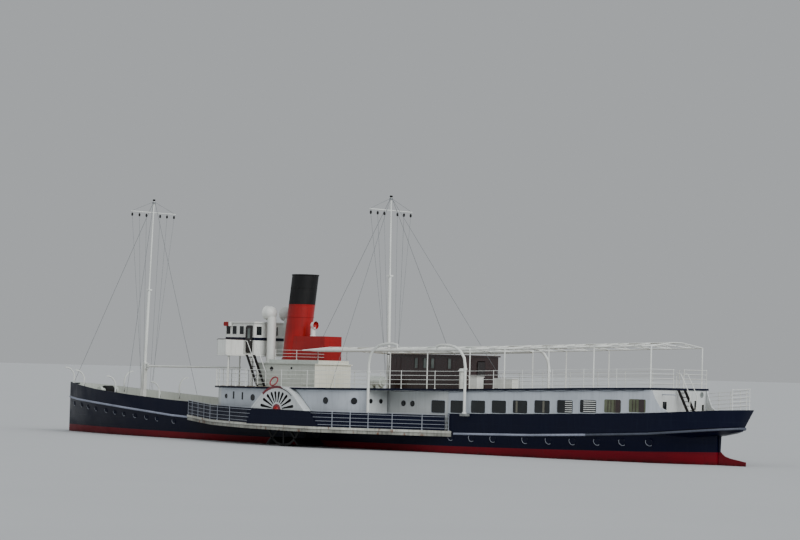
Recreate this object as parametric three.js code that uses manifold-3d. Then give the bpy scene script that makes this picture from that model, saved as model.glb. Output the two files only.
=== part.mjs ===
// Paddle steamer with an open promenade deck, as a scale model at one tenth of full size.
// +X runs towards the bow, +Y to port and +Z up. The origin is on the waterline, amidships.
// Every dimension below is a full-size metre; scaleMm turns it into millimetres of the model.
import * as THREE from 'three';
import { mergeVertices } from 'three/addons/utils/BufferGeometryUtils.js';
import Module from 'manifold-3d';

const wasm = await Module();
wasm.setup();

// Driving dimensions, in full-size metres
const scaleMm = 100; // millimetres of the model for each full-size metre
const seat = 0.003; // gap between pieces that rest on each other
const clearOf = 0.004; // gap along the hull's side
const keelZ = -1.13;
const houseHalf = 3.6; // midship house on the hull's sides, half width
const promThick = 0.12;
const railHigh = 1.05;
const railBar = 0.045;
const paddleX = 1.7;
const paddleZ = 1.5;
const wheelR = 1.95;
const wheelInY = 4.15;
const wheelOutY = 6.4;
const boxFaceY = 6.93;
const wallThick = 0.08;
const bridgeZ = 5.7; // top of the bridge deck
const houseTopZ = 5.2; // top of the promenade deckhouse
const sponsonRailHigh = 0.93;

// Materials
function paint(color, roughness = 0.5, metalness = 0) {
  return new THREE.MeshStandardMaterial({ color, roughness, metalness });
}
const navy = paint('#1c2340');
const white = paint('#e4e6e2');
const paleGreen = paint('#c3cdc4', 0.55);
const red = paint('#a31f22', 0.45);
const black = paint('#17181a');
const grey = paint('#9a9fa3', 0.6);
const deckWood = paint('#8d7a62', 0.8);
const darkWood = paint('#3a2622', 0.4);
const bottomRed = paint('#7c1f26', 0.6);

const steamer = new THREE.Group();

// Height and width tables along the ship

// Reads a table of [x, value] rows that runs from the bow aft
function along(table, x) {
  const last = table.length - 1;
  if (x >= table[0][0]) return table[0][1];
  if (x <= table[last][0]) return table[last][1];
  const i = table.findIndex((row) => row[0] <= x);
  const [x0, v0] = table[i - 1];
  const [x1, v1] = table[i];
  return v0 + ((v1 - v0) * (x0 - x)) / (x0 - x1);
}

// Main deck: sheer and half breadth, to its end at the stern
const sternEnd = -28.6;
const mainSheer = [
  [29.72, 2.56], [24, 2.26], [20, 2.0], [15, 1.64], [9, 1.38], [0, 1.27],
  [-10, 1.29], [-16, 1.42], [-20, 1.58], [-24, 1.78], [-27, 2.06], [sternEnd, 2.22],
];
const mainHalf = [
  [29.72, 0.06], [28.9, 0.62], [27, 1.65], [24, 2.62], [20, 3.3], [15, 3.63], [9, 3.7],
  [-10, 3.7], [-16, 3.6], [-20, 3.3], [-24, 2.76], [-27, 1.85], [-28, 1.15], [sternEnd, 0.3],
];
// Top of the navy plating aft, which is the quarter deck's edge
const platingTop = [[-9.7, 2.39], [-16, 2.56], [-20, 2.7], [-24, 2.86], [-27, 3.06], [-29.1, 3.22]];
const promSheer = [[12.3, 3.61], [0, 3.69], [-10, 3.88], [-16, 4.06], [-20, 4.19], [-24.2, 4.3]];

// Places along the ship where the tables bend; a piece that follows the deck has a section at each
const bends = [29.72, 28.9, 27, 24, 20, 15, 9, 0, -10, -16, -20, -24, -27, -28, sternEnd];
const between = (fore, aft) => [fore, ...bends.filter((x) => x < fore - 0.01 && x > aft + 0.01), aft];

const mainZ = (x) => along(mainSheer, x);
const mainY = (x) => along(mainHalf, x);
const platingZ = (x) => along(platingTop, x);
const promZ = (x) => along(promSheer, x);

// Solids

function toSolid(geometry) {
  const bare = geometry.clone();
  bare.deleteAttribute('normal');
  bare.deleteAttribute('uv');
  const merged = mergeVertices(bare, 1e-4);
  const mesh = new wasm.Mesh({
    numProp: 3,
    vertProperties: new Float32Array(merged.attributes.position.array),
    triVerts: new Uint32Array(merged.index.array),
  });
  return new wasm.Manifold(mesh);
}

function fromSolid(solid) {
  const mesh = solid.getMesh();
  const geometry = new THREE.BufferGeometry();
  geometry.setAttribute('position', new THREE.BufferAttribute(new Float32Array(mesh.vertProperties), 3));
  geometry.setIndex(new THREE.BufferAttribute(new Uint32Array(mesh.triVerts), 1));
  return geometry;
}

// Closed body from rings of the same count, each ring a list of [x, y, z] in metres
function skin(rings, capped = true) {
  const count = rings[0].length;
  const position = rings.flat().flatMap((p) => p.map((v) => v * scaleMm));
  const index = [];
  const quads = capped ? rings.length - 1 : rings.length;
  for (let r = 0; r < quads; r += 1) {
    const next = (r + 1) % rings.length;
    for (let i = 0; i < count; i += 1) {
      const j = (i + 1) % count;
      const [a, b, c, d] = [r * count + i, r * count + j, next * count + j, next * count + i];
      index.push(a, b, c, a, c, d);
    }
  }
  if (capped) {
    const flat = rings.map((ring) => capFaces(ring));
    const lastStart = (rings.length - 1) * count;
    flat[0].forEach(([a, b, c]) => index.push(a, c, b));
    flat[rings.length - 1].forEach(([a, b, c]) => index.push(lastStart + a, lastStart + b, lastStart + c));
  }
  const geometry = new THREE.BufferGeometry();
  geometry.setAttribute('position', new THREE.BufferAttribute(new Float32Array(position), 3));
  geometry.setIndex(index);
  return toSolid(outward(geometry));
}

// Triangles over a plane ring, wound the way the ring runs
function capFaces(ring) {
  const normal = new THREE.Vector3();
  ring.forEach((p, i) => {
    const q = ring[(i + 1) % ring.length];
    normal.x += (p[1] - q[1]) * (p[2] + q[2]);
    normal.y += (p[2] - q[2]) * (p[0] + q[0]);
    normal.z += (p[0] - q[0]) * (p[1] + q[1]);
  });
  normal.normalize();
  const side = Math.abs(normal.z) > 0.8 ? new THREE.Vector3(1, 0, 0) : new THREE.Vector3(0, 0, 1);
  const u = new THREE.Vector3().crossVectors(side, normal).normalize();
  const v = new THREE.Vector3().crossVectors(normal, u);
  const points = ring.map((p) => {
    const at = new THREE.Vector3(...p);
    return new THREE.Vector2(at.dot(u), at.dot(v));
  });
  return THREE.ShapeUtils.triangulateShape(points, []);
}

// Turns the faces outwards where the rings ran the other way
function outward(geometry) {
  const at = geometry.attributes.position;
  const index = geometry.index.array;
  const [a, b, c] = [new THREE.Vector3(), new THREE.Vector3(), new THREE.Vector3()];
  let volume = 0;
  for (let i = 0; i < index.length; i += 3) {
    a.fromBufferAttribute(at, index[i]);
    b.fromBufferAttribute(at, index[i + 1]);
    c.fromBufferAttribute(at, index[i + 2]);
    volume += a.dot(b.cross(c));
  }
  if (volume < 0) {
    for (let i = 0; i < index.length; i += 3) {
      [index[i + 1], index[i + 2]] = [index[i + 2], index[i + 1]];
    }
  }
  return geometry;
}

function block(x0, x1, y0, y1, z0, z1) {
  const size = [x1 - x0, y1 - y0, z1 - z0].map((v) => v * scaleMm);
  const geometry = new THREE.BoxGeometry(...size);
  geometry.translate(((x0 + x1) / 2) * scaleMm, ((y0 + y1) / 2) * scaleMm, ((z0 + z1) / 2) * scaleMm);
  return toSolid(geometry);
}

// Round bar between two points, tapering from radius r0 to r1
function bar(from, to, r0, r1 = r0, sides = 8) {
  const a = new THREE.Vector3(...from).multiplyScalar(scaleMm);
  const b = new THREE.Vector3(...to).multiplyScalar(scaleMm);
  const geometry = new THREE.CylinderGeometry(r1 * scaleMm, r0 * scaleMm, a.distanceTo(b), sides);
  const up = new THREE.Vector3(0, 1, 0);
  geometry.applyQuaternion(new THREE.Quaternion().setFromUnitVectors(up, b.clone().sub(a).normalize()));
  geometry.translate(...a.add(b).multiplyScalar(0.5).toArray());
  return toSolid(geometry);
}

// Upright slab over a plan outline of [x, y] points
function plate(outline, z0, z1) {
  return skin([outline.map(([x, y]) => [x, y, z0]), outline.map(([x, y]) => [x, y, z1])]);
}

// Solid between y0 and y1 over an outline of [x, z] points
function sidePlate(outline, y0, y1) {
  return skin([outline.map(([x, z]) => [x, y0, z]), outline.map(([x, z]) => [x, y1, z])]);
}

// Tube or rod of round section along a list of points
function pipe(points, radius, sides = 8) {
  const at = points.map((p) => new THREE.Vector3(...p));
  const start = at[1].clone().sub(at[0]).normalize();
  const u = Math.abs(start.z) > 0.7 ? new THREE.Vector3(1, 0, 0) : new THREE.Vector3(0, 0, 1);
  const rings = at.map((p, i) => {
    const before = at[Math.max(i - 1, 0)];
    const after = at[Math.min(i + 1, at.length - 1)];
    const tangent = after.clone().sub(before).normalize();
    // The section's side follows from ring to ring, so the tube never twists
    u.addScaledVector(tangent, -u.dot(tangent)).normalize();
    const v = new THREE.Vector3().crossVectors(tangent, u);
    return Array.from({ length: sides }, (_, k) => {
      const angle = (k / sides) * 2 * Math.PI;
      const [across, along] = [Math.cos(angle) * radius, Math.sin(angle) * radius];
      return p.clone().addScaledVector(u, across).addScaledVector(v, along).toArray();
    });
  });
  return skin(rings);
}

function join(solids) {
  return solids.reduce((whole, one) => whole.add(one));
}

function add(name, solid, material) {
  const mesh = new THREE.Mesh(fromSolid(solid), material);
  mesh.name = name;
  steamer.add(mesh);
  return mesh;
}

// Copies a solid to the starboard side
function mirrored(solid) {
  const geometry = fromSolid(solid);
  geometry.scale(1, -1, 1);
  return toSolid(outward(geometry));
}

// Points set off to the left of an open path by a distance, in plan
function offset(path, distance) {
  return path.map(([x, y], i) => {
    const [ax, ay] = path[Math.max(i - 1, 0)];
    const [bx, by] = path[Math.min(i + 1, path.length - 1)];
    const length = Math.hypot(bx - ax, by - ay);
    return [x - ((by - ay) / length) * distance, y + ((bx - ax) / length) * distance];
  });
}

// Upright wall along an open plan path; its thickness goes to the left of the path
function wall(path, thickness, bottom, top) {
  const inner = offset(path, thickness);
  return skin(path.map(([x, y], i) => {
    const [p, q] = inner[i];
    return [[x, y, bottom(x)], [x, y, top(x)], [p, q, top(x)], [p, q, bottom(x)]];
  }));
}

const mirrorY = (path) => path.map(([x, y]) => [x, -y]);
// Port side from forward aft, then the starboard side back forward
const bothSides = (port) => [...port, ...mirrorY(port).reverse()];

// Railing along an open plan path: bars at even heights, with posts at the given spacing
function railing(path, base, bars, spacing, high = railHigh) {
  const parts = [];
  for (let k = 1; k <= bars; k += 1) {
    const level = (high * k) / bars;
    const half = railBar / 2;
    const inner = offset(path, railBar);
    parts.push(skin(path.map(([x, y], i) => {
      const [p, q] = inner[i];
      const z = base(x) + level;
      return [[x, y, z - half], [x, y, z + half], [p, q, z + half], [p, q, z - half]];
    })));
  }
  const middle = offset(path, railBar / 2);
  const post = railBar * 0.7; // half width
  for (const [x, y] of spaced(middle, spacing)) {
    parts.push(block(x - post, x + post, y - post, y + post, base(x) + seat, base(x) + high));
  }
  return join(parts);
}

// Points at an even spacing along a path, ends included
function spaced(path, spacing) {
  const lengths = path.slice(1).map(([x, y], i) => Math.hypot(x - path[i][0], y - path[i][1]));
  const total = lengths.reduce((a, b) => a + b, 0);
  const count = Math.max(1, Math.round(total / spacing));
  return Array.from({ length: count + 1 }, (_, k) => {
    let left = (total * k) / count;
    let i = 0;
    while (i < lengths.length - 1 && left > lengths[i]) {
      left -= lengths[i];
      i += 1;
    }
    const t = Math.min(left / lengths[i], 1);
    return [path[i][0] + (path[i + 1][0] - path[i][0]) * t, path[i][1] + (path[i + 1][1] - path[i][1]) * t];
  });
}

// Points on part of a circle, in plan or elevation, from one angle to another in degrees
function arc(cx, cy, radius, from, to, steps) {
  return Array.from({ length: steps + 1 }, (_, i) => {
    const angle = ((from + ((to - from) * i) / steps) * Math.PI) / 180;
    return [cx + radius * Math.cos(angle), cy + radius * Math.sin(angle)];
  });
}

// Hull: one decked solid, from the stem to the sternpost, and the counter behind it

// x, keel height, half breadths at the keel, bilge, waterline and boot-top; the deck comes from its tables
const hullStations = [
  [29.72, -0.35, 0.05, 0.06, 0.06, 0.06],
  [28.9, -0.95, 0.06, 0.14, 0.28, 0.36],
  [27, keelZ, 0.1, 0.45, 0.85, 1.02],
  [24, keelZ, 0.25, 1.2, 1.75, 1.95],
  [20, keelZ, 0.6, 2.1, 2.65, 2.8],
  [15, keelZ, 1.1, 2.9, 3.28, 3.4],
  [9, keelZ, 1.6, 3.3, 3.58, 3.64],
  [0, keelZ, 1.7, 3.36, 3.62, 3.66],
  [-10, keelZ, 1.6, 3.3, 3.58, 3.64],
  [-16, keelZ, 1.0, 2.65, 3.25, 3.4],
  [-20, keelZ, 0.55, 1.8, 2.75, 2.98],
  [-24, keelZ, 0.2, 0.8, 1.8, 2.15],
  [-27, -1.05, 0.08, 0.1, 0.12, 0.2],
];
const bilgeZ = -0.75;
const bootTopZ = 0.5;
const sternpostHalf = 0.3; // top of the last section, under the counter

function hullRing([x, keel, atKeel, atBilge, atWater, atBoot]) {
  const bilge = Math.max(bilgeZ, keel + 0.1);
  const atDeck = x === -27 ? sternpostHalf : mainY(x);
  const port = [
    [x, atKeel, keel], [x, atBilge, bilge], [x, atWater, 0], [x, atBoot, bootTopZ], [x, atDeck, mainZ(x)],
  ];
  return [...port, ...port.map(([a, y, z]) => [a, -y, z]).reverse()];
}

// x, underside height, half breadth of the underside
const counterStations = [[-24, 1.3, 1.6], [-27, 1.66, 0.7], [-28, 1.82, 0.42], [sternEnd, 1.95, 0.08]];
const counter = skin(counterStations.map(([x, under, half]) => [
  [x, half, under], [x, mainY(x), mainZ(x)], [x, -mainY(x), mainZ(x)], [x, -half, under],
]));
add('hull', skin(hullStations.map(hullRing)).add(counter), navy);

// Rudder, hung behind the sternpost, with its stock up to the counter
const stockX = -27.065;
const stockR = 0.06;
const stockTop = 1.655;
const bladeX = stockX - 0.035;
const bladeHalf = 0.05;
const rudderOutline = [
  [bladeX, -1.05], [-28.3, -1.05], [-28.88, -0.7], [-28.88, 0.24], [-27.79, 0.42], [-27.45, 0.52],
  [-27.25, 0.66], [bladeX, 0.8],
];
const rudderStock = bar([stockX, 0, -1.05], [stockX, 0, stockTop], stockR, stockR, 10);
add('rudder', sidePlate(rudderOutline, -bladeHalf, bladeHalf).add(rudderStock), bottomRed);

// Belting: a rubbing band round the bow and round the stern, at the main deck's edge
const bandOut = 0.07;
const bandHigh = 0.16;
function belting(portPath) {
  const path = bothSides(portPath);
  const far = offset(path, -clearOf);
  const near = offset(path, -(clearOf + bandOut));
  return skin(path.map(([x], i) => {
    const z = mainZ(x) - 0.02;
    return [
      [far[i][0], far[i][1], z - bandHigh], [far[i][0], far[i][1], z],
      [near[i][0], near[i][1], z], [near[i][0], near[i][1], z - bandHigh],
    ];
  }));
}
// The paths run from the far end of the port side to the end of the ship and back, so left is inboard
const bowPort = between(29.72, 13.4).reverse().map((x) => [x, mainY(x)]);
const sternPort = between(-10.2, sternEnd).map((x) => [x, mainY(x)]);
add('belting_forward', belting(bowPort.map(([x, y]) => [x, -y])), grey);
add('belting_aft', belting(sternPort), grey);

// Bulwark round the fore deck, with its swan-neck posts
const bulwarkSheer = [[29.72, 3.5], [27.7, 3.39], [24.3, 3.1], [19.3, 2.78], [15.7, 2.58], [13.45, 2.5]];
const bulwarkTop = (x) => along(bulwarkSheer, x);
const bulwarkThick = 0.07;
const bulwarkPort = between(29.72, 13.45).reverse().map((x) => [x, mainY(x)]);
const postRadius = 0.055;
// x on the bulwark and side of each swan-neck post
const swanPosts = [[28.5, 1], [26.1, 1], [26.1, -1], [21.5, 1], [21.5, -1], [16.45, 1], [16.45, -1]];
const neckRadius = 0.75;
const neckFoot = 0.35; // from the bulwark's top to where the neck starts to bend
function swanPost([x, side]) {
  const y = mainY(x) - 0.09;
  const neck = arc(0, 0, neckRadius, 180, 85, 5).map(([a, b]) => [
    x, side * (y + neckRadius + a), bulwarkTop(x) + neckFoot + b,
  ]);
  return pipe([[x, side * y, bulwarkTop(x) - 0.35], ...neck], postRadius, 5);
}
const foreBulwark = wall(
  bothSides(bulwarkPort.map(([x, y]) => [x, -y])), bulwarkThick, (x) => mainZ(x) + seat, bulwarkTop,
);
// Plate that ties the two sides together at the stem head, and carries the forestay
const hookSide = [[29.15, mainY(29.15) - 0.04], [29.66, 0.07]];
const stemPlate = plate([...hookSide, ...mirrorY(hookSide).reverse()], 3.38, 3.44);
add('fore_bulwark', join([foreBulwark, stemPlate, ...swanPosts.map(swanPost)]), navy);

// Navy plating aft: the sides of the saloon, and the raised quarter deck
const aftSections = between(-9.7, sternEnd);
const platingFlare = 0.12;
function platingRing(x, inset, z0, z1) {
  const low = Math.max(mainY(x) - inset, 0.05);
  const high = Math.max(mainY(x) + (x < -24 ? platingFlare : 0) - inset, 0.05);
  const aftShift = x === sternEnd ? 0.5 : 0; // the quarter deck overhangs the main deck
  return [[x, low, z0], [x - aftShift, high, z1], [x - aftShift, -high, z1], [x, -low, z0]];
}
const platingBody = skin(aftSections.map((x) => platingRing(x, 0, mainZ(x) + seat, platingZ(x))));
const saloonAft = -24.1;
const saloonSections = between(-9, saloonAft + 0.1);
const saloonSpace = skin(saloonSections.map((x) => {
  const half = mainY(x) - 0.12;
  return [[x, half, 1], [x, half, 3.5], [x, -half, 3.5], [x, -half, 1]];
}));
const bracketX = -11.2; // carries the after davit
const bracketTop = 2.42;
const davitBracket = (side) => block(
  bracketX - 0.2, bracketX + 0.2, ...span(side, 3.6, 4.12), bracketTop - 0.14, bracketTop,
);
const aftPlating = join([platingBody.subtract(saloonSpace), davitBracket(1), davitBracket(-1)]);
add('aft_plating', aftPlating, navy);

// Saloon walls above the plating, with ten windows a side
const saloonWallT = 0.08;
const saloonFore = -9.7;
const wingTop = [[saloonAft, 4.17], [-24.26, 4.13], [-24.39, 3.76], [-24.71, 3.22], [-25.13, 3.0]];
const saloonPort = [...between(saloonFore, saloonAft), ...wingTop.slice(1).map(([x]) => x)]
  .map((x) => [x, mainY(x) - 0.02]);
const underProm = (x) => promZ(x) - promThick - seat;
const windowWide = 0.95;
const windowHigh = 0.74;
const windowPitch = 1.612;
const firstWindowX = -8.9;
const windowSill = 0.1; // above the plating's line
function windowCut(k) {
  const x = firstWindowX - k * windowPitch;
  const sill = platingZ(x) + windowSill - 0.06;
  return block(x - windowWide / 2, x + windowWide / 2, -5, 5, sill, sill + windowHigh);
}
const saloonTop = (x) => (x < saloonAft ? along(wingTop, x) : underProm(x));
const saloonSide = wall(saloonPort, saloonWallT, (x) => platingZ(x) + seat, saloonTop);
let saloonWalls = saloonSide.add(mirrored(saloonSide));
saloonWalls = saloonWalls.add(block(
  saloonFore - 0.08, saloonFore, -mainY(saloonFore) + 0.05, mainY(saloonFore) - 0.05,
  platingZ(saloonFore) + seat, underProm(saloonFore),
));
const aftBulkhead = block(
  saloonAft - 0.04, saloonAft + 0.04, -mainY(saloonAft) + 0.05, mainY(saloonAft) - 0.05,
  platingZ(saloonAft) + seat, underProm(saloonAft),
);
for (let k = 1; k < 10; k += 1) saloonWalls = saloonWalls.subtract(windowCut(k));
add('saloon_walls', saloonWalls.add(aftBulkhead), white);

// Midship house: the walls on the hull's sides between the fore deck and the saloon
const midFore = 11.9;
const midAft = -9.7 + seat;
// Rounded front of the houses under the promenade deck's fore end
const frontCurve = [[midFore, 0.9], [11.6, 1.9], [11, 2.8], [10.2, houseHalf]];
const midPort = [...frontCurve, ...between(10.2, midAft).slice(1).map((x) => [x, houseHalf])];
const shaftR = 0.13;
const bearing = 0.3; // half length of the thick plate round the shaft
let midWalls = wall(bothSides(midPort), 0.1, (x) => mainZ(x) + seat, underProm);
midWalls = midWalls.add(block(midFore - 0.1, midFore, -0.95, 0.95, mainZ(midFore) + seat, underProm(midFore)));
for (const side of [1, -1]) {
  midWalls = midWalls.add(block(
    paddleX - bearing, paddleX + bearing, ...span(side, 3.35, 3.62), paddleZ - bearing / 2, paddleZ + 0.35,
  ));
}
midWalls = midWalls.subtract(windowCut(0));
const shaftBore = bar([paddleX, -4, paddleZ], [paddleX, 4, paddleZ], shaftR + 0.01, shaftR + 0.01, 12);
add('midship_walls', midWalls.subtract(shaftBore), white);

function span(side, near, far) {
  return side > 0 ? [near, far] : [-far, -near];
}

// Sponsons: the decks outboard of the hull that carry the paddle boxes and side houses
// x and half breadth of the sponson's edge
const sponsonEdge = [
  [13.4, 3.72], [11.2, 4.75], [9, 5.65], [6.6, 6.45], [4.3, 7.05], [0, 7.05], [-1.9, 7.05],
  [-3.8, 6.5], [-5.6, 5.75], [-7.8, 4.75], [-10, 3.72],
];
const sponsonTop = (x) => mainZ(x) + 0.06;
const sponsonThick = 0.34;
const wellHalf = 2.2;
const edgeY = (x) => along(sponsonEdge, x);

function sponson() {
  const rings = sponsonEdge.map(([x, y]) => {
    const hullSide = mainY(x) + clearOf;
    const outer = Math.max(y, hullSide + 0.05);
    const top = sponsonTop(x);
    const low = top - sponsonThick;
    const shoulder = Math.max(outer - 0.06, hullSide + 0.03);
    return [
      [x, hullSide, low], [x, hullSide, top], [x, outer, top], [x, outer, top - 0.14],
      [x, shoulder, top - 0.16], [x, shoulder, low],
    ];
  });
  const well = block(paddleX - wellHalf, paddleX + wellHalf, 3.9, 6.62, 0, 3);
  return skin(rings).subtract(well);
}

// Paddle box: a rounded casing with straight shoulders, and a fan of slots in its face
const boxHalf = 2.42; // half length at the foot
const boxShoulderZ = 2.2;
const boxArcR = 2;
const boxArcZ = 1.72;
const boxArcFrom = 50; // degrees above level where the arc meets the shoulder
function boxOutline(grow, foot) {
  const crown = arc(paddleX, boxArcZ, boxArcR + grow, boxArcFrom, 180 - boxArcFrom, 10);
  const half = boxHalf + grow;
  return [[paddleX + half, foot], [paddleX + half, boxShoulderZ], ...crown,
    [paddleX - half, boxShoulderZ], [paddleX - half, foot]];
}
const fanZ = 2.3;
const slotCount = 10;
const slotInner = 0.45; // distance of a slot's narrow end from the fan's centre
const fanReachX = 1.5; // the slots' outer ends lie on an ellipse, this wide each way
const fanReachZ = 1.13; // and this high
const slotNarrow = 0.035; // half widths of a slot at its two ends
const slotBroad = 0.095;
function fanSlot(k) {
  const angle = Math.PI - ((k + 0.5) * Math.PI) / slotCount;
  const [c, s] = [Math.cos(angle), Math.sin(angle)];
  const outer = 1 / Math.hypot(c / fanReachX, s / fanReachZ);
  const roundEnd = arc(outer - slotBroad, 0, slotBroad, -90, 90, 4);
  const corners = [[slotInner, -slotNarrow], ...roundEnd, [slotInner, slotNarrow]];
  const ring = corners.map(([r, w]) => [paddleX + r * c - w * s, fanZ + r * s + w * c]);
  return sidePlate(ring, boxFaceY - 0.3, boxFaceY + 0.3);
}
function paddleBox() {
  const base = sponsonTop(paddleX + boxHalf) + seat;
  const shell = sidePlate(boxOutline(0, base), mainY(0) + 0.02, boxFaceY);
  const space = sidePlate(boxOutline(-wallThick, 0), houseHalf - 0.5, boxFaceY - wallThick);
  const rim = sidePlate(boxOutline(0.05, base), boxFaceY - 0.1, boxFaceY + 0.02)
    .subtract(sidePlate(boxOutline(-0.1, 0), boxFaceY - 0.2, boxFaceY + 0.1));
  const hubLow = block(paddleX - 1, paddleX + 1, boxFaceY - 0.5, boxFaceY + 0.5, 1, fanZ + 0.02);
  const hub = bar([paddleX, boxFaceY - 0.04, fanZ], [paddleX, boxFaceY + 0.16, fanZ], 0.25, 0.14, 14);
  let box = shell.subtract(space).add(rim).add(hub.subtract(hubLow));
  for (let k = 0; k < slotCount; k += 1) box = box.subtract(fanSlot(k));
  return box;
}

// Side houses: white walls fore and aft of the paddle box, under the promenade deck
const besideBoxY = 6.28; // house wall fore and aft of the paddle box
const houseFore = [[10.15, 3.76], [9, 5.05], [8.1, 5.66], [7, 5.96], [4.2, besideBoxY], [paddleX, besideBoxY]];
const houseAft = [[paddleX, besideBoxY], [0, besideBoxY], [-1.9, besideBoxY], [-3.8, 5.95], [-4.7, 5.55]];
function sideHouse(edge) {
  const inner = mainY(0) + 0.02;
  const body = skin(edge.map(([x, y]) => {
    const floor = sponsonTop(x) + 0.006;
    return [[x, inner, floor], [x, y, floor], [x, y, underProm(x)], [x, inner, underProm(x)]];
  }));
  return body.subtract(sidePlate(boxOutline(0.06, 0), 3, 8));
}

// Sponson's bulwark: a navy screen with white rails, and a plain raised panel below the fan
const screenThick = 0.035;
const screenIn = 0.04; // screen's outer face, inboard of the sponson's edge
const panelFore = 4.26;
const panelAft = -2.07;
const panelTopIn = [0.43, 0.8]; // how far the panel's top corners stand in from its foot, fore and aft
function sponsonBulwark() {
  const base = (x) => sponsonTop(x) + seat;
  const stops = [13.2, 11.2, 9, 6.6, 4.3, -1.9, -3.8, -5.6, -7.8, -9.6];
  const path = stops.map((x) => [x, Math.max(edgeY(x) - screenIn, mainY(x) + 0.04)]);
  const screen = wall(path, screenThick, base, (x) => base(x) + sponsonRailHigh - 0.02);
  const proud = offset(path, -0.03);
  const foreRail = railing(proud.filter(([x]) => x > 4), base, 2, 2.2, sponsonRailHigh);
  const aftRail = railing(proud.filter(([x]) => x < -1.5), base, 2, 2.5, sponsonRailHigh);
  const panelFoot = base(panelFore);
  const panelTop = panelFoot + sponsonRailHigh - 0.02;
  const corners = [
    [panelFore, panelFoot], [panelFore - panelTopIn[0], panelTop], [panelAft + panelTopIn[1], panelTop],
    [panelAft, panelFoot],
  ];
  const panelY = edgeY(paddleX) - screenIn;
  return join([screen, foreRail, aftRail, sidePlate(corners, panelY - 0.02, panelY + 0.05)]);
}

function addPair(name, port, material) {
  add(`${name}_port`, port, material);
  add(`${name}_starboard`, mirrored(port), material);
}

addPair('sponson', sponson(), grey);
addPair('paddle_box', paddleBox(), white);
addPair('side_house_fore', sideHouse(houseFore), white);
addPair('side_house_aft', sideHouse(houseAft), white);
addPair('sponson_bulwark', sponsonBulwark(), navy);

// Paddle wheels: two wheels with straight floats on one shaft across the ship
const floatCount = 8;
const rimOuter = 1.5;
const rimInner = 1.36;
function paddleWheel(side) {
  const [near, far] = [wheelInY, wheelOutY];
  const turned = (r, w, angle) => [
    paddleX + r * Math.cos(angle) - w * Math.sin(angle), paddleZ + r * Math.sin(angle) + w * Math.cos(angle),
  ];
  const bladed = (r0, r1, half, angle) => [[r0, -half], [r1, -half], [r1, half], [r0, half]]
    .map(([r, w]) => turned(r, w, angle));
  const parts = [];
  for (const y of [near + 0.15, far - 0.15]) {
    const outer = arc(paddleX, paddleZ, rimOuter, 0, 360, 16).slice(0, 16);
    const inner = arc(paddleX, paddleZ, rimInner, 0, 360, 16).slice(0, 16);
    parts.push(sidePlate(outer, ...span(side, y - 0.03, y + 0.03))
      .subtract(sidePlate(inner, ...span(side, y - 0.1, y + 0.1))));
    parts.push(bar([paddleX, side * (y - 0.12), paddleZ], [paddleX, side * (y + 0.12), paddleZ], 0.3, 0.3, 8));
    for (let k = 0; k < floatCount / 2; k += 1) {
      const spokes = bladed(-1.43, 1.43, 0.06, (k / floatCount) * 2 * Math.PI);
      parts.push(sidePlate(spokes, ...span(side, y - 0.03, y + 0.03)));
    }
  }
  for (let k = 0; k < floatCount; k += 1) {
    parts.push(sidePlate(bladed(1.4, wheelR, 0.04, (k / floatCount) * 2 * Math.PI), ...span(side, near, far)));
  }
  return join(parts);
}
const shaft = bar([paddleX, -wheelOutY, paddleZ], [paddleX, wheelOutY, paddleZ], shaftR, shaftR, 8);
add('paddle_wheels', join([shaft, paddleWheel(1), paddleWheel(-1)]), bottomRed);

// Promenade deck, from its rounded fore end to the ladder aft
// x and half breadth of the deck's edge
const promFront = [[12.3, 0.9], [12.0, 2.0], [11.3, 3.05], [10.3, 4.15], [9.1, 5.3], [8.1, 5.85]];
const promSide = [
  [7, 6.16], [4.2, 6.48], [0, 6.48], [-1.9, 6.48], [-3.8, 6.12], [-4.7, 5.62], [-9.6, 3.8], [-10, 3.78],
  [-16, 3.68], [-20, 3.38], [-24.2, 2.8],
];
const promEdge = [...promFront, ...promSide];
const promY = (x) => along(promEdge, x);
const promRing = (x, y) => [
  [x, y, promZ(x) - promThick], [x, y, promZ(x)], [x, -y, promZ(x)], [x, -y, promZ(x) - promThick],
];
const notch = (side) => sidePlate(boxOutline(0.055, 0), ...span(side, houseHalf, 8));
const promDeck = skin(promEdge.map(([x, y]) => promRing(x, y))).subtract(notch(1)).subtract(notch(-1));
add('promenade_deck', promDeck, deckWood);

// Rails round the promenade deck, open aft at the ladder
const promRailPath = promEdge.map(([x, y]) => [x, y - 0.1]);
const aftRailX = -24.1;
const railPort = [...promRailPath.slice(0, -1), [aftRailX, promY(aftRailX) - 0.1], [aftRailX, 0.45]];
const promRailLine = [...mirrorY(railPort).reverse(), ...railPort];
add('promenade_rail', railing(promRailLine, promZ, 3, 6), white);

// Promenade deckhouse, with the raised coaming that carries the funnel
const houseHalfY = 1.66;
function house(x0, x1, half, top) {
  return skin([x0, x1].map((x) => {
    const foot = promZ(x) + seat;
    return [[x, half, foot], [x, half, top(x)], [x, -half, top(x)], [x, -half, foot]];
  }));
}
const coamingTop = 5.42;
const deckhouse = house(3.65, 9.05, houseHalfY, () => houseTopZ)
  .add(block(3.55, 9.1, -houseHalfY - 0.08, houseHalfY + 0.08, houseTopZ - 0.06, houseTopZ))
  .add(block(3.6, 8.15, -1.42, 1.42, houseTopZ - 0.02, coamingTop));
add('deckhouse', deckhouse, paleGreen);

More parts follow.
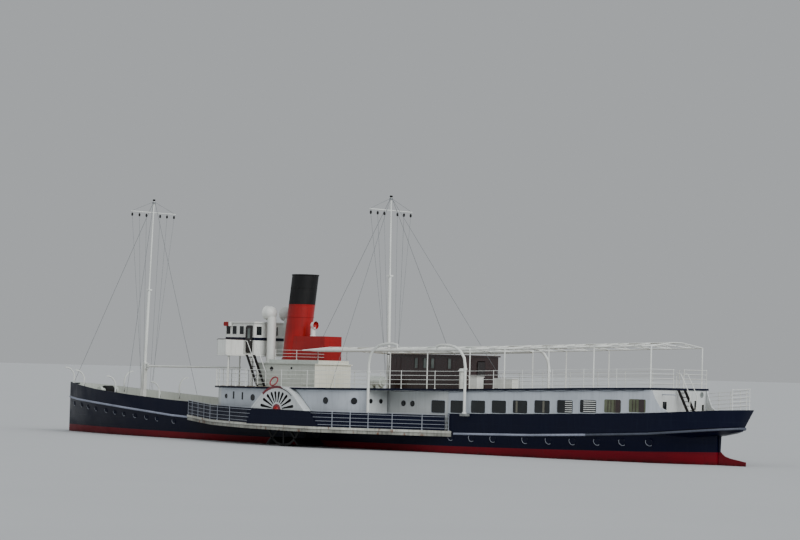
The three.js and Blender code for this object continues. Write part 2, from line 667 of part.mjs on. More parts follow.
// Funnel: a raked cylinder with a black top, and the red casing abaft it
const funnelSides = 24;
const funnelFootX = 7.12;
const funnelTopX = 6.37;
const funnelFootZ = coamingTop + seat;
const funnelTopZ = 11.02;
const funnelR = 0.87;
const blackFromZ = 9.06;
const funnelRake = (funnelTopX - funnelFootX) / (funnelTopZ - funnelFootZ);
const funnelX = (z) => funnelFootX + funnelRake * (z - funnelFootZ);
function funnelPart(z0, z1, radius) {
  return skin([z0, z1].map((z) => arc(funnelX(z), 0, radius, 0, 360, funnelSides)
    .slice(0, funnelSides).map(([x, y]) => [x, y, z])));
}
const funnelBand = funnelPart(8.2, 8.26, funnelR + 0.03);
const steamPipe = bar([funnelX(5.6) + 0.98, 0, 5.6], [funnelX(10.6) + 0.98, 0, 10.6], 0.07, 0.07, 8)
  .add(block(funnelX(6.5) + 0.8, funnelX(6.5) + 1, -0.04, 0.04, 6.45, 6.55));
add('funnel', join([funnelPart(funnelFootZ, blackFromZ - seat, funnelR), funnelBand, steamPipe]), red);
const funnelTop = funnelPart(blackFromZ, funnelTopZ, funnelR)
  .subtract(funnelPart(blackFromZ - 0.1, funnelTopZ + 0.1, funnelR - 0.07))
  .subtract(bar([funnelX(8) + 0.98, 0, 8], [funnelX(11) + 0.98, 0, 11], 0.09, 0.09, 8));
add('funnel_top', funnelTop, black);
const casingTop = 6.98;
const casing = block(3.7, 7, -0.79, 0.79, funnelFootZ, casingTop).subtract(funnelPart(5, 7.5, funnelR + 0.02));
add('casing', casing, red);

// Cowl ventilator: an upright trunk with a rounded head and an open bell that faces one way
const lipThick = 0.035;
function cowl(x, y, foot, mouthZ, radius, facing, sides) {
  const trunk = bar([x, y, foot], [x, y, mouthZ], radius, radius, sides);
  const head = new THREE.SphereGeometry(radius * 1.45 * scaleMm, sides, 6);
  head.rotateX(Math.PI / 2);
  head.translate(x * scaleMm, y * scaleMm, mouthZ * scaleMm);
  const mouthR = radius * 1.7;
  const deep = radius * 1.9;
  const ahead = (reach) => [x + facing * reach, y, mouthZ];
  const bell = bar(ahead(radius * 0.3), ahead(deep), radius * 1.3, mouthR, sides);
  const hollow = bar(ahead(radius * 0.1), ahead(deep + 0.1), radius * 1.05, mouthR, sides);
  const lip = mouthR - lipThick;
  const throat = bar(ahead(deep * 0.6), ahead(deep + 0.05), radius * 1.3, lip + 0.02, sides);
  const bore = bar(ahead(0), ahead(deep + 0.2), lip, lip, sides);
  return join([trunk, toSolid(head), bell]).subtract(hollow.intersect(bore).add(throat));
}
const cowlX = 8.62;
const cowlY = 0.78;
const cowlMouthZ = 8.47;
addPair('cowl', cowl(cowlX, cowlY, houseTopZ + seat, cowlMouthZ, 0.29, 1, 12), white);
const smallCowlX = 5.25;
add('casing_cowl', cowl(smallCowlX, 0.3, casingTop + seat, 7.7, 0.16, -1, 8), white);

// Low rail round the deckhouse's top, abreast of the casing
const topRailPort = [[7.6, 1.34], [3.64, 1.34]];
const topRail = railing([...mirrorY(topRailPort), ...[...topRailPort].reverse()].map(([x, y]) => [x, -y]),
  () => coamingTop, 3, 2, 0.6);
add('deckhouse_rail', topRail, white);

// Bridge deck on pillars, with its front in three faces and wings each side
const bridgeFore = 12.12;
const bridgeAft = 9.25;
const wingY = 4.2;
const wingFore = 10.1;
const bridgeHalf = 2.4;
const bridgePort = [[bridgeAft, wingY], [wingFore, wingY], [bridgeFore, bridgeHalf]];
const bridgeOutline = [...bridgePort, ...mirrorY(bridgePort).reverse()];
const bridgeThick = 0.1;
const pillarR = 0.05;
// x and y of the pillars on the port side
const pillars = [[9.6, 3.7], [9.5, 1.75], [11.6, 1.75], [11.75, 0.6]];
let bridge = plate(bridgeOutline, bridgeZ - bridgeThick, bridgeZ);
for (const [x, y] of pillars) {
  for (const side of [1, -1]) {
    const foot = promZ(x) + seat;
    bridge = bridge.add(bar([x, side * y, foot], [x, side * y, bridgeZ - 0.05], pillarR, pillarR, 8));
  }
}
add('bridge_deck', bridge, white);

// Dodger: the waist-high screen round the bridge, open at the ladders
const dodgerTop = 6.65;
const dodgerPort = [[bridgeFore - 0.02, bridgeHalf], [wingFore, wingY - 0.02], [bridgeAft + 0.1, wingY - 0.02]];
const dodgerEnd = [bridgeAft + 0.1, 2.6];
const dodgerPath = [...mirrorY([...dodgerPort, dodgerEnd]).reverse(), ...dodgerPort, dodgerEnd];
add('bridge_dodger', wall(dodgerPath, 0.05, () => bridgeZ + seat, () => dodgerTop), white);

// Wheelhouse: a hollow cabin with windows all round and a door each side
const cabin = { fore: 12, aft: 9.3, half: 1.7, floor: bridgeZ + seat, top: 7.78 };
const cabinWall = 0.08;
const doorOpening = { fore: 10.06, aft: 9.44, foot: bridgeZ + 0.1, top: 7.62 };
const sideWindowsX = [11.74, 11.1, 10.42];
const frontWindowsY = [-1.28, -0.64, 0, 0.64, 1.28];
let cabinWalls = block(cabin.aft, cabin.fore, -cabin.half, cabin.half, cabin.floor, cabin.top);
cabinWalls = cabinWalls.subtract(block(
  cabin.aft + cabinWall, cabin.fore - cabinWall, -cabin.half + cabinWall, cabin.half - cabinWall, 5, 8,
));
for (const x of sideWindowsX) {
  cabinWalls = cabinWalls.subtract(block(x - 0.18, x + 0.18, -3, 3, 7.06, 7.52));
}
for (const y of frontWindowsY) {
  cabinWalls = cabinWalls.subtract(block(cabin.fore - 0.3, cabin.fore + 0.3, y - 0.26, y + 0.26, 6.98, 7.56));
}
for (const [y, wide] of [[1.17, 0.41], [-0.4, 0.2], [-1.17, 0.41]]) {
  const [low, high] = [y - wide / 2, y + wide / 2];
  cabinWalls = cabinWalls.subtract(block(cabin.aft - 0.3, cabin.aft + 0.3, low, high, 6.98, 7.56));
}
cabinWalls = cabinWalls.subtract(block(
  doorOpening.aft, doorOpening.fore, -3, 3, doorOpening.foot, doorOpening.top,
));
add('wheelhouse_walls', cabinWalls, white);
add('wheelhouse_roof', block(
  cabin.aft - 0.1, cabin.fore + 0.12, -cabin.half - 0.1, cabin.half + 0.1, cabin.top + seat, cabin.top + 0.09,
), white);

// Doors hang on their forward edge; the leaf clears its frame by five millimetres of the model
const doorGap = 0.05;
const leafThick = 0.06;
const hingeX = doorOpening.fore - 0.01;
const pinY = cabin.half + 0.034;
const leafProud = 0.03; // how far a leaf stands out from its wall
const leafFaceY = cabin.half + leafProud;
const leaf = block(
  doorOpening.aft + doorGap, hingeX, leafFaceY - leafThick, leafFaceY,
  doorOpening.foot + doorGap, doorOpening.top - doorGap,
).subtract(block(doorOpening.aft + 0.16, hingeX - 0.1, 0, 3, 6.75, 7.45));
const pinR = 0.03;
const doorPin = bar(
  [hingeX, pinY, doorOpening.foot + 0.1], [hingeX, pinY, doorOpening.top - 0.1], pinR, pinR, 8,
);
addPair('wheelhouse_door', leaf.add(doorPin), darkWood);

// Ladders from the promenade deck to the bridge, one each side of the wheelhouse
function ladder(from, to, halfWide, treads, stringer) {
  const parts = [];
  for (const side of [1, -1]) {
    const y = from[1] + side * halfWide;
    parts.push(sidePlate([
      [from[0], from[2]], [from[0] + stringer, from[2]], [to[0] + stringer, to[2]], [to[0], to[2]],
    ], y - 0.03, y + 0.03));
  }
  for (let k = 0; k < treads; k += 1) {
    const t = (k + 0.6) / treads;
    const x = from[0] + (to[0] - from[0]) * t;
    const z = from[2] + (to[2] - from[2]) * t;
    const [low, high] = [from[1] - halfWide, from[1] + halfWide];
    parts.push(block(x + 0.02, x + stringer - 0.02, low, high, z - 0.02, z + 0.02));
  }
  return join(parts);
}
const bridgeLadderTop = [bridgeAft - 0.21, 2.15, bridgeZ - 0.02];
const bridgeLadderFoot = [8.0, 2.15, promZ(8.0) + seat];
addPair('bridge_ladder', ladder(bridgeLadderTop, bridgeLadderFoot, 0.33, 7, 0.18), darkWood);
const aftLadderTop = [-24.42, 0, 4.18];
const aftLadderFoot = [-25.1, 0, platingZ(-25.1) + 2 * seat];
add('aft_ladder', ladder(aftLadderTop, aftLadderFoot, 0.3, 5, 0.17), darkWood);

// Varnished deckhouse amidships aft, hollow, with tall narrow windows and a door at its after end
const wood = { fore: -2.8, aft: -9.05, half: 1.6, top: 5.86 };
const woodWall = 0.08;
const woodWindowsX = [-3.6, -5.08, -5.82, -6.45, -7.85];
const woodDoor = { half: 0.36, top: 5.6 };
let woodWalls = skin([wood.fore, wood.aft].map((x) => {
  const foot = promZ(x) + seat;
  return [[x, wood.half, foot], [x, wood.half, wood.top], [x, -wood.half, wood.top], [x, -wood.half, foot]];
}));
woodWalls = woodWalls.subtract(block(
  wood.aft + woodWall, wood.fore - woodWall, -wood.half + woodWall, wood.half - woodWall, 3, 6.5,
));
for (const x of woodWindowsX) {
  woodWalls = woodWalls.subtract(block(x - 0.16, x + 0.16, -3, 3, 5.08, 5.72));
}
const woodDoorFoot = promZ(wood.aft) + 0.1;
woodWalls = woodWalls.subtract(block(
  wood.aft - 0.3, wood.aft + 0.3, -woodDoor.half, woodDoor.half, woodDoorFoot, woodDoor.top,
));
add('wood_house_walls', woodWalls, darkWood);
add('wood_house_roof', block(
  wood.aft - 0.1, wood.fore + 0.1, -wood.half - 0.1, wood.half + 0.1, wood.top + seat, wood.top + 0.09,
), darkWood);
const woodHingeY = woodDoor.half - 0.01;
const woodPinX = wood.aft - 0.034;
const woodLeaf = block(
  wood.aft - leafProud, wood.aft - leafProud + leafThick, -woodDoor.half + doorGap, woodHingeY,
  woodDoorFoot + doorGap, woodDoor.top - doorGap,
);
const woodPin = bar(
  [woodPinX, woodHingeY, woodDoorFoot + 0.1], [woodPinX, woodHingeY, woodDoor.top - 0.1], pinR, pinR, 8,
);
add('wood_house_door', woodLeaf.add(woodPin), darkWood);

// Awning frame over the after promenade: stanchions, side bars, twin ridge bars and rafters
const awningRise = 2.36; // side bars above the deck
const awningRidge = 0.25; // ridge bars above the side bars
const ridgeY = 0.45;
// x and half width at each frame, from the fore end aft
const awningFrames = [
  [3.5, 3], [1.9, 3], [-0.7, 3], [-4.2, 3], [-7.3, 3], [-10.7, 2.95], [-13.4, 2.9], [-16.75, 2.85],
  [-20, 2.7], [-23.95, 2.45],
];
const stanchionFrom = 3; // the frames from this one aft stand on the deck
const frameBar = 0.035;
const sideZ = (x) => promZ(x) + awningRise;
const ridgeZ = (x) => sideZ(x) + awningRidge;
const awningParts = [];
for (const side of [1, -1]) {
  awningParts.push(pipe(awningFrames.map(([x, y]) => [x, side * y, sideZ(x)]), frameBar, 4));
  awningParts.push(pipe(awningFrames.map(([x]) => [x, side * ridgeY, ridgeZ(x)]), frameBar, 4));
}
awningFrames.forEach(([x, y], k) => {
  const line = [[x, -y, sideZ(x)], [x, -ridgeY, ridgeZ(x)], [x, ridgeY, ridgeZ(x)], [x, y, sideZ(x)]];
  awningParts.push(pipe(line, frameBar, 4));
  for (const side of [1, -1]) {
    if (k >= stanchionFrom) {
      awningParts.push(bar([x, side * y, promZ(x) + seat], [x, side * y, sideZ(x)], 0.045, 0.045, 4));
    }
  }
});
add('awning_frame', join(awningParts), white);

// Foremast in its tabernacle, with a yard; the derrick's lugs are on the after face
const foreFoot = [22, mainZ(22.15) + 2 * seat];
const foreRake = -0.041;
const foreX = (z) => foreFoot[0] + foreRake * (z - foreFoot[1]);
const lowerMastTop = 10.1;
const foreTop = 16.36;
const tabernacleTop = 5;
const mastR = 0.12;
const topmastR = 0.06;
function mast(xAt, foot, split, top) {
  return join([
    bar([xAt(foot), 0, foot], [xAt(split), 0, split], mastR, mastR * 0.85, 12),
    bar([xAt(split - 0.6), 0, split - 0.6], [xAt(top), 0, top], topmastR, topmastR * 0.7, 8),
    block(xAt(split) - 0.15, xAt(split) + 0.15, -0.15, 0.15, split - 0.1, split),
  ]);
}
function yard(x, z, half) {
  return bar([x, -half, z], [x, half, z], 0.035, 0.035, 6);
}
const tabernacle = skin([foreFoot[1], tabernacleTop].map((z) => {
  const x = foreX(z);
  return [[x - 0.15, -0.14, z], [x + 0.15, -0.14, z], [x + 0.15, 0.14, z], [x - 0.15, 0.14, z]];
}));
const derrickZ = 4.76;
const slewX = 21.58;
const luffX = 21.44;
const mastLugs = [4.58, 4.9].map((z) => block(slewX - 0.09, 21.8, -0.08, 0.08, z, z + 0.04));
add('foremast', join([
  mast(foreX, foreFoot[1], lowerMastTop, foreTop), yard(foreX(15.42), 15.42, 2.06), tabernacle, ...mastLugs,
]), white);

// Standing rigging: a band round each masthead, with the wires that run down from it
const wireR = 0.012;
function stays(xAt, bandZ, mastRadius, feet) {
  const head = [xAt(bandZ), 0, bandZ];
  const bandR = mastRadius + 0.05;
  const band = bar([head[0], 0, bandZ - 0.05], [head[0], 0, bandZ + 0.05], bandR, bandR, 12);
  const wires = feet.map((foot) => {
    const run = Math.hypot(foot[0] - head[0], foot[1]);
    const out = mastRadius + 0.03;
    const start = [head[0] + ((foot[0] - head[0]) / run) * out, (foot[1] / run) * out, bandZ];
    // The wire's slanted end just clears what it is made fast to
    const lift = (wireR * run) / Math.hypot(run, bandZ - foot[2]) + seat;
    return bar(start, [foot[0], foot[1], foot[2] + lift], wireR, wireR, 6);
  });
  const bore = bar([xAt(bandZ - 0.2), 0, bandZ - 0.2], [xAt(bandZ + 0.2), 0, bandZ + 0.2],
    mastRadius + seat, mastRadius + seat, 12);
  return join([band, ...wires]).subtract(bore);
}
const foreBandZ = 16.1;
const shroudX = 20; // abaft the mast, and clear of the boom's sweep
const stemHead = [29.4, 0, 3.44];
const foreShroud = (side) => [shroudX, side * (mainY(shroudX) - 0.035), bulwarkTop(shroudX)];
add('foremast_stays', stays(foreX, foreBandZ, topmastR, [stemHead, foreShroud(1), foreShroud(-1)]), grey);

// Derrick: a heel that slews between the mast's lugs, and the boom hinged on it
const heelPin = bar([slewX, 0, 4.62 + seat], [slewX, 0, 4.9 - seat], 0.06, 0.06, 10);
const cheeks = [1, -1].map((side) => block(luffX - 0.06, slewX, ...span(side, 0.045, 0.085), 4.69, 4.83));
const heelWeb = block(slewX - 0.07, slewX, -0.085, 0.085, 4.69, 4.83);
add('derrick_heel', join([heelPin, heelWeb, ...cheeks]), white);
const boomEnd = [12.3, 0, 4.82];
const boomEye = bar([luffX, -0.041, derrickZ], [luffX, 0.041, derrickZ], 0.055, 0.055, 10);
const boomNeck = bar([luffX, 0, derrickZ], [21.2, 0, derrickZ], 0.036, 0.036, 8);
const boomSpar = bar([21.26, 0, derrickZ], boomEnd, 0.075, 0.06, 10);
add('derrick_boom', join([boomEye, boomNeck, boomSpar]), white);

// Mainmast
const mainFootZ = promZ(-1.27) + 2 * seat;
const mainX = (z) => -1.27 + (0.15 * (z - mainFootZ)) / (16.04 - mainFootZ);
add('mainmast', mast(mainX, mainFootZ, 10.95, 16.04).add(yard(mainX(15.06), 15.06, 1.98)), white);
const mainBandZ = 15.8;
const mainShroudX = -2.2; // far enough aft for the shrouds to pass the yard
const mainShroud = (side) => [mainShroudX, side * 6.2, promZ(mainShroudX)];
add('mainmast_stays', stays(mainX, mainBandZ, topmastR, [
  [4.6, 0, casingTop], [-11.2, 0, promZ(-11.2)], mainShroud(1), mainShroud(-1),
]), grey);

// Davits: hooked posts that turn on their feet, a pair forward and a pair aft
const davitR = 0.085;
// reach from the post and height of the davit's bends
const davitBend = [[0, 5.2], [0.1, 5.75], [0.4, 6.15], [0.85, 6.4], [1.4, 6.5], [2, 6.5], [2.35, 6.42]];
function davit(x, y, foot, collar, direction) {
  const path = [[x, y, foot], ...davitBend.map(([reach, z]) => [x + direction * reach, y, z])];
  const end = [x + direction * 2.3, y];
  return join([
    pipe(path, davitR, 8),
    bar([x, y, foot], [x, y, foot + 0.1], 0.15, 0.13, 10),
    bar([x, y, collar - 0.06], [x, y, collar + 0.06], 0.12, 0.12, 10),
    block(end[0] - 0.05, end[0] + 0.05, y - 0.04, y + 0.04, 6.2, 6.42),
  ]);
}
const foreDavit = [-4.95, 5.72];
const aftDavit = [bracketX, 3.93];
addPair('davit_fore', davit(...foreDavit, sponsonTop(-4.95) + 2 * seat, 4.76, -1), grey);
addPair('davit_aft', davit(...aftDavit, bracketTop + seat, 5.09, 1), grey);

// Windlass on the fore deck
const windlassZ = mainZ(26.05) + 2 * seat;
const windlassX = 25.7;
const barrelZ = 2.98;
const barrel = (from, to, radius) => bar(
  [windlassX, from, barrelZ], [windlassX, to, barrelZ], radius, radius, 14,
);
const windlassBed = block(windlassX - 0.35, windlassX + 0.35, -0.5, 0.5, windlassZ, windlassZ + 0.35);
const windlassCheek = (side) => block(
  windlassX - 0.2, windlassX + 0.2, ...span(side, 0.4, 0.5), windlassZ + 0.3, barrelZ + 0.07,
);
add('windlass', join([
  windlassBed, barrel(-0.75, 0.75, 0.16), barrel(-0.35, 0.35, 0.34), barrel(0.6, 0.8, 0.26),
  barrel(-0.8, -0.6, 0.26), windlassCheek(1), windlassCheek(-1),
]), grey);

// Liferaft canisters, each a pair of drums on a cradle
const raftY = 2.75;
const raftR = 0.33;
function lifeRaft() {
  const z = promZ(-3.4) + raftR + 0.1;
  const drum = (fore, aft, radius) => bar([fore, raftY, z], [aft, raftY, z], radius, radius, 14);
  const chock = (fore, aft) => block(aft, fore, raftY - 0.25, raftY + 0.25, promZ(aft) + seat, z);
  return join([
    drum(-2.34, -2.84, raftR), drum(-2.87, -3.37, raftR), drum(-2.25, -3.46, 0.2),
    chock(-2.5, -2.7), chock(-3, -3.2),
  ]);
}
addPair('life_raft', lifeRaft(), white);

// Deck lockers and the mushroom ventilator on the after promenade
function locker(x0, x1, y, high) {
  const foot = promZ(x1) + 3 * seat;
  const lid = block(x1 - 0.04, x0 + 0.04, y - 0.34, y + 0.34, foot + high - 0.05, foot + high);
  return block(x1, x0, y - 0.3, y + 0.3, foot, foot + high).add(lid);
}
add('deck_locker_fore', locker(-9.99, -10.64, 1.9, 0.75), white);
add('deck_locker_aft', locker(-11.99, -13.41, 1.9, 0.6), white);
const mushroomX = -9.4;
add('mushroom_ventilator', join([
  bar([mushroomX, 2.2, promZ(mushroomX) + 3 * seat], [mushroomX, 2.2, 5.0], 0.15, 0.15, 12),
  bar([mushroomX, 2.2, 4.94], [mushroomX, 2.2, 5.12], 0.27, 0.12, 12),
]), white);

// Rail round the quarter deck; the port side is open forward of the stern, where people board
const sternPoint = [-29, 0.15];
const sternLine = [-25.3, -26, -27, -28].map((x) => [x, mainY(x) - 0.08]);
const sternPortLine = [sternPoint, [-28.4, 0.72]];
const sternRailPath = [...mirrorY(sternLine), [sternPoint[0], -sternPoint[1]], ...sternPortLine];
add('stern_rail', railing(sternRailPath.reverse(), platingZ, 3, 1.5), white);

export default steamer;
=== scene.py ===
"""Looks of the paddle steamer: paint, planking, glass, rails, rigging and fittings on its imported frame."""

import math

import bmesh
import bpy
from mathutils import Matrix, Vector
from mathutils.bvhtree import BVHTree


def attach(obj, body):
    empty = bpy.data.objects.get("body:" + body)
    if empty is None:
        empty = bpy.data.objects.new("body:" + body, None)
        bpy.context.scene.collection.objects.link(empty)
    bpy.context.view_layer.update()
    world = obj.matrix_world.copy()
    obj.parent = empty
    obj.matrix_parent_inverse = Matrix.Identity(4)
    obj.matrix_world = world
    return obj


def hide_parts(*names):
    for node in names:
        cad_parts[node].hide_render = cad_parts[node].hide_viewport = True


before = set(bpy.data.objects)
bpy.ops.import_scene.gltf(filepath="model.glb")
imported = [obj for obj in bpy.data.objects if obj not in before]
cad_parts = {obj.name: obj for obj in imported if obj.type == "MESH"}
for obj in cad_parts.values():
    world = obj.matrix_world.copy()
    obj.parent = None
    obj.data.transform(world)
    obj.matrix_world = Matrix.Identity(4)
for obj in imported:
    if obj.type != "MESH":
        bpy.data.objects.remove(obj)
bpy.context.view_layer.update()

# Sizes are full-size metres, and FULL turns one into metres of the model
FULL = 0.1
SIDES = (1, -1)  # port, starboard
LABELS = ((1, "port"), (-1, "starboard"))
MERGE = 0.00001  # points closer than this are one point
UP = Vector((0, 0, 1))

# Camera, from the fit to the photograph
CAMERA_PLACE = (-114.1, 121.0, 4.957)
HEADING = math.radians(42.747)  # from +X round towards +Y, to the camera's right-hand side
FOCAL_PX = 2605.2
PICTURE_WIDE = 800
SENSOR_MM = 36
ROLL = math.radians(1.459)
HORIZON_BELOW = 99.64  # pixels from the picture's centre down to the horizon

# Ship's lines, as [x, value] rows from forward aft
PLATING_TOP = [[-8, 2.36], [-9.7, 2.39], [-16, 2.56], [-20, 2.7], [-24, 2.86], [-27, 3.06], [-29.1, 3.22]]
BULWARK_TOP = [[29.72, 3.5], [27.7, 3.39], [24.3, 3.1], [19.3, 2.78], [15.7, 2.58], [13.45, 2.5]]
MAIN_SHEER = [
    [29.72, 2.56], [24, 2.26], [20, 2.0], [15, 1.64], [9, 1.38], [0, 1.27],
    [-10, 1.29], [-16, 1.42], [-20, 1.58], [-24, 1.78], [-27, 2.06], [-28.6, 2.22],
]
MAIN_HALF = [
    [29.72, 0.06], [28.9, 0.62], [27, 1.65], [24, 2.62], [20, 3.3], [15, 3.63], [9, 3.7],
    [-10, 3.7], [-16, 3.6], [-20, 3.3], [-24, 2.76], [-27, 1.85], [-28, 1.15], [-28.6, 0.3],
]
PROM_SHEER = [[12.3, 3.61], [0, 3.69], [-10, 3.88], [-16, 4.06], [-20, 4.19], [-24.2, 4.3]]
PROM_HALF = [
    [12.3, 0.9], [12.0, 2.0], [11.3, 3.05], [10.3, 4.15], [9.1, 5.3], [8.1, 5.85], [7, 6.16], [4.2, 6.48],
    [0, 6.48], [-1.9, 6.48], [-3.8, 6.12], [-4.7, 5.62], [-9.6, 3.8], [-10, 3.78], [-16, 3.68],
    [-20, 3.38], [-24.2, 2.8],
]
SPONSON_HALF = [
    [13.4, 3.72], [11.2, 4.75], [9, 5.65], [6.6, 6.45], [4.3, 7.05], [-1.9, 7.05],
    [-3.8, 6.5], [-5.6, 5.75], [-7.8, 4.75], [-10, 3.72],
]

# Fan of slots in each paddle box: its centre, and how far the slots reach across and up
PADDLE_X = 1.7
FAN_Z = 2.3
FAN_WIDE = 1.6
FAN_HIGH = 1.24


# Reading the frame

def at(x, y, z):
    """A place in the frame, from full-size metres."""
    return Vector((x, y, z)) * FULL


def along(table, x):
    """The value at x in a table of rows that runs aft."""
    if x >= table[0][0]:
        return table[0][1]
    for (fore, value), (aft, after) in zip(table, table[1:]):
        if x >= aft:
            return value + (after - value) * (fore - x) / (fore - aft)
    return table[-1][1]


trees = {}


def hit(node, start, direction):
    """Where a straight line from a place first meets a CAD node, and the face's normal there."""
    if node not in trees:
        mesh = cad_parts[node].data
        trees[node] = BVHTree.FromPolygons([v.co for v in mesh.vertices], [p.vertices for p in mesh.polygons])
    place, normal, _, _ = trees[node].ray_cast(start, direction)
    if place is None:
        raise ValueError(f"nothing of {node} at {start[:]}")
    return place, normal


# Modelling

def deselect():
    if bpy.context.mode != "OBJECT":
        bpy.ops.object.mode_set(mode="OBJECT")
    bpy.ops.object.select_all(action="DESELECT")


def named(piece, name):
    piece.name = piece.data.name = name
    return piece


def coat(piece, *finishes):
    """Adds materials to a piece, one to each of its material slots in turn."""
    for finish in finishes:
        piece.data.materials.append(finish)
    return piece


def moved(x, y, z):
    """A matrix that moves a pattern to a place."""
    return Matrix.Translation(at(x, y, z))


def mirrored(places):
    """The same places on the other side of the ship."""
    return [Vector((place.x, -place.y, place.z)) for place in places]


def choose(piece):
    deselect()
    piece.select_set(True)
    bpy.context.view_layer.objects.active = piece


def open_mesh(piece):
    """Edit mode, with all of the mesh selected."""
    choose(piece)
    bpy.ops.object.mode_set(mode="EDIT")
    bpy.ops.mesh.select_all(action="SELECT")


def close_mesh():
    bpy.ops.object.mode_set(mode="OBJECT")


def extrude(shift):
    bpy.ops.mesh.extrude_region_move(TRANSFORM_OT_translate={"value": shift})


def settle(piece):
    """Puts a piece's place, turn and scale into its mesh."""
    choose(piece)
    bpy.ops.object.transform_apply(location=True, rotation=True, scale=True)
    return piece


def pick(piece, test):
    """In edit mode, selects just the faces whose centre and normal pass a test."""
    mesh = bmesh.from_edit_mesh(piece.data)
    for face in mesh.faces:
        face.select_set(False)
    for face in mesh.faces:
        if test(face.calc_center_median(), face.normal):
            face.select_set(True)
    bmesh.update_edit_mesh(piece.data)


def join(parts, name):
    choose(parts[0])
    for part in parts:
        part.select_set(True)
    if len(parts) > 1:
        bpy.ops.object.join()
    return named(parts[0], name)


def modify(piece, kind, **settings):
    """Adds a modifier with its settings and applies it."""
    choose(piece)
    modifier = piece.modifiers.new(kind.title(), kind)
    for key, value in settings.items():
        setattr(modifier, key, value)
    bpy.ops.object.modifier_apply(modifier=modifier.name)
    return piece


def smooth(piece, angle):
    choose(piece)
    bpy.ops.object.shade_smooth_by_angle(angle=math.radians(angle))
    return piece


def tidy_mesh(piece):
    """Merges doubled points and turns every face outwards."""
    open_mesh(piece)
    bpy.ops.mesh.remove_doubles(threshold=MERGE)
    bpy.ops.mesh.normals_make_consistent(inside=False)
    close_mesh()
    return piece


def drawn(lines):
    """Edges along lines of places: each line is one point, extruded from place to place."""
    deselect()
    bpy.ops.mesh.primitive_plane_add(size=FULL)
    piece = bpy.context.object
    open_mesh(piece)
    bpy.ops.mesh.delete(type="VERT")
    for line in lines:
        bpy.ops.mesh.primitive_plane_add(size=FULL, location=line[0])
        bpy.ops.mesh.merge(type="CENTER")
        for before, after in zip(line, line[1:]):
            extrude(after - before)
    close_mesh()
    return piece


def rods(name, lines, radius, fineness=1):
    """Round bars along lines of places."""
    piece = drawn(lines)
    choose(piece)
    bpy.ops.object.convert(target="CURVE")
    piece = bpy.context.object
    piece.data.bevel_depth = radius * FULL
    piece.data.bevel_resolution = fineness
    piece.data.use_fill_caps = True
    bpy.ops.object.convert(target="MESH")
    return smooth(tidy_mesh(named(bpy.context.object, name)), 50)


def strip(name, line, rise, thick):
    """An upright band that follows a line of places."""
    piece = drawn([line])
    open_mesh(piece)
    extrude(at(0, 0, rise))
    close_mesh()
    return modify(named(piece, name), "SOLIDIFY", thickness=thick * FULL, offset=0)


def slab(name, low, high, edge=0.015):
    """A block between two corners, with its edges rounded over."""
    deselect()
    bpy.ops.mesh.primitive_cube_add(size=1, location=(at(*low) + at(*high)) / 2)
    piece = bpy.context.object
    piece.scale = at(*high) - at(*low)
    settle(named(piece, name))
    open_mesh(piece)
    bpy.ops.mesh.bevel(offset=edge * FULL, segments=2)
    close_mesh()
    return piece


def turned(name, profile, steps=24):
    """A round piece: a profile of (radius, height) points spun about Z."""
    piece = drawn([[at(radius, 0, height) for radius, height in profile]])
    open_mesh(piece)
    bpy.ops.mesh.spin(steps=steps, angle=2 * math.pi, center=(0, 0, 0), axis=(0, 0, 1))
    close_mesh()
    return smooth(tidy_mesh(named(piece, name)), 40)


def plate(name, outline, thickness, border=0):
    """A flat plate within a closed outline, thickened by a shift; a border puts a line inside its edge."""
    piece = drawn([[*outline, outline[0]]])
    open_mesh(piece)
    bpy.ops.mesh.remove_doubles(threshold=MERGE)
    bpy.ops.mesh.edge_face_add()
    if border:
        bpy.ops.mesh.inset(thickness=border * FULL)
        bpy.ops.mesh.select_all(action="SELECT")
    extrude(thickness)
    close_mesh()
    return tidy_mesh(named(piece, name))


def copies(pattern, places, name):
    """Copies a modelled pattern to each place, a matrix, and joins the copies."""
    made = []
    for place in places:
        copy = pattern.copy()
        copy.data = pattern.data.copy()
        copy.data.transform(place)
        if place.determinant() < 0:
            copy.data.flip_normals()
        bpy.context.scene.collection.objects.link(copy)
        made.append(copy)
    bpy.data.objects.remove(pattern)
    return join(made, name)


def facing(place, outward):
    """A matrix that puts a pattern at a place, its +Y facing outward and its +Z up."""
    forward = outward.normalized()
    across = forward.cross(UP).normalized()
    return Matrix.Translation(place) @ Matrix((across, forward, across.cross(forward))).transposed().to_4x4()


# Turns a pattern that stands on +Z so that it stands out along +Y
SIDEWAYS = Matrix.Rotation(-math.pi / 2, 4, "X")


def outboard(x, y, z, hand):
    """A place on a flat side of the ship, facing away from the centreline."""
    return facing(at(x, hand * y, z), Vector((0, hand, 0)))


def arc(first, last, steps, radius=1):
    """Points (across, up) round a circle, between two angles in degrees."""
    turns = [math.radians(first + (last - first) * k / steps) for k in range(steps + 1)]
    return [(radius * math.cos(t), radius * math.sin(t)) for t in turns]


def spaced(line, pitch):
    """Places at an even pitch along a line, ends included."""
    lengths = [(b - a).length for a, b in zip(line, line[1:])]
    count = max(1, round(sum(lengths) / (pitch * FULL)))
    found = []
    for k in range(count + 1):
        left = sum(lengths) * k / count
        i = 0
        while i < len(lengths) - 1 and left > lengths[i]:
            left -= lengths[i]
            i += 1
        found.append(line[i].lerp(line[i + 1], min(left / lengths[i], 1)))
    return found


def fit(piece, finish, material_slot, *replaced, body="ship"):
    """Gives a finished piece its material, its body and the nodes it stands for."""
    if finish is not None:
        piece.data.materials.clear()
        coat(piece, finish)
    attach(piece, body)
    if replaced:
        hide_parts(*replaced)
    return piece


# Materials

def linear(colour):
    """Linear colour from an sRGB hex value."""
    parts = [int(colour[i:i + 2], 16) / 255 for i in (1, 3, 5)]
    return [c / 12.92 if c <= 0.04045 else ((c + 0.055) / 1.055) ** 2.4 for c in parts] + [1]


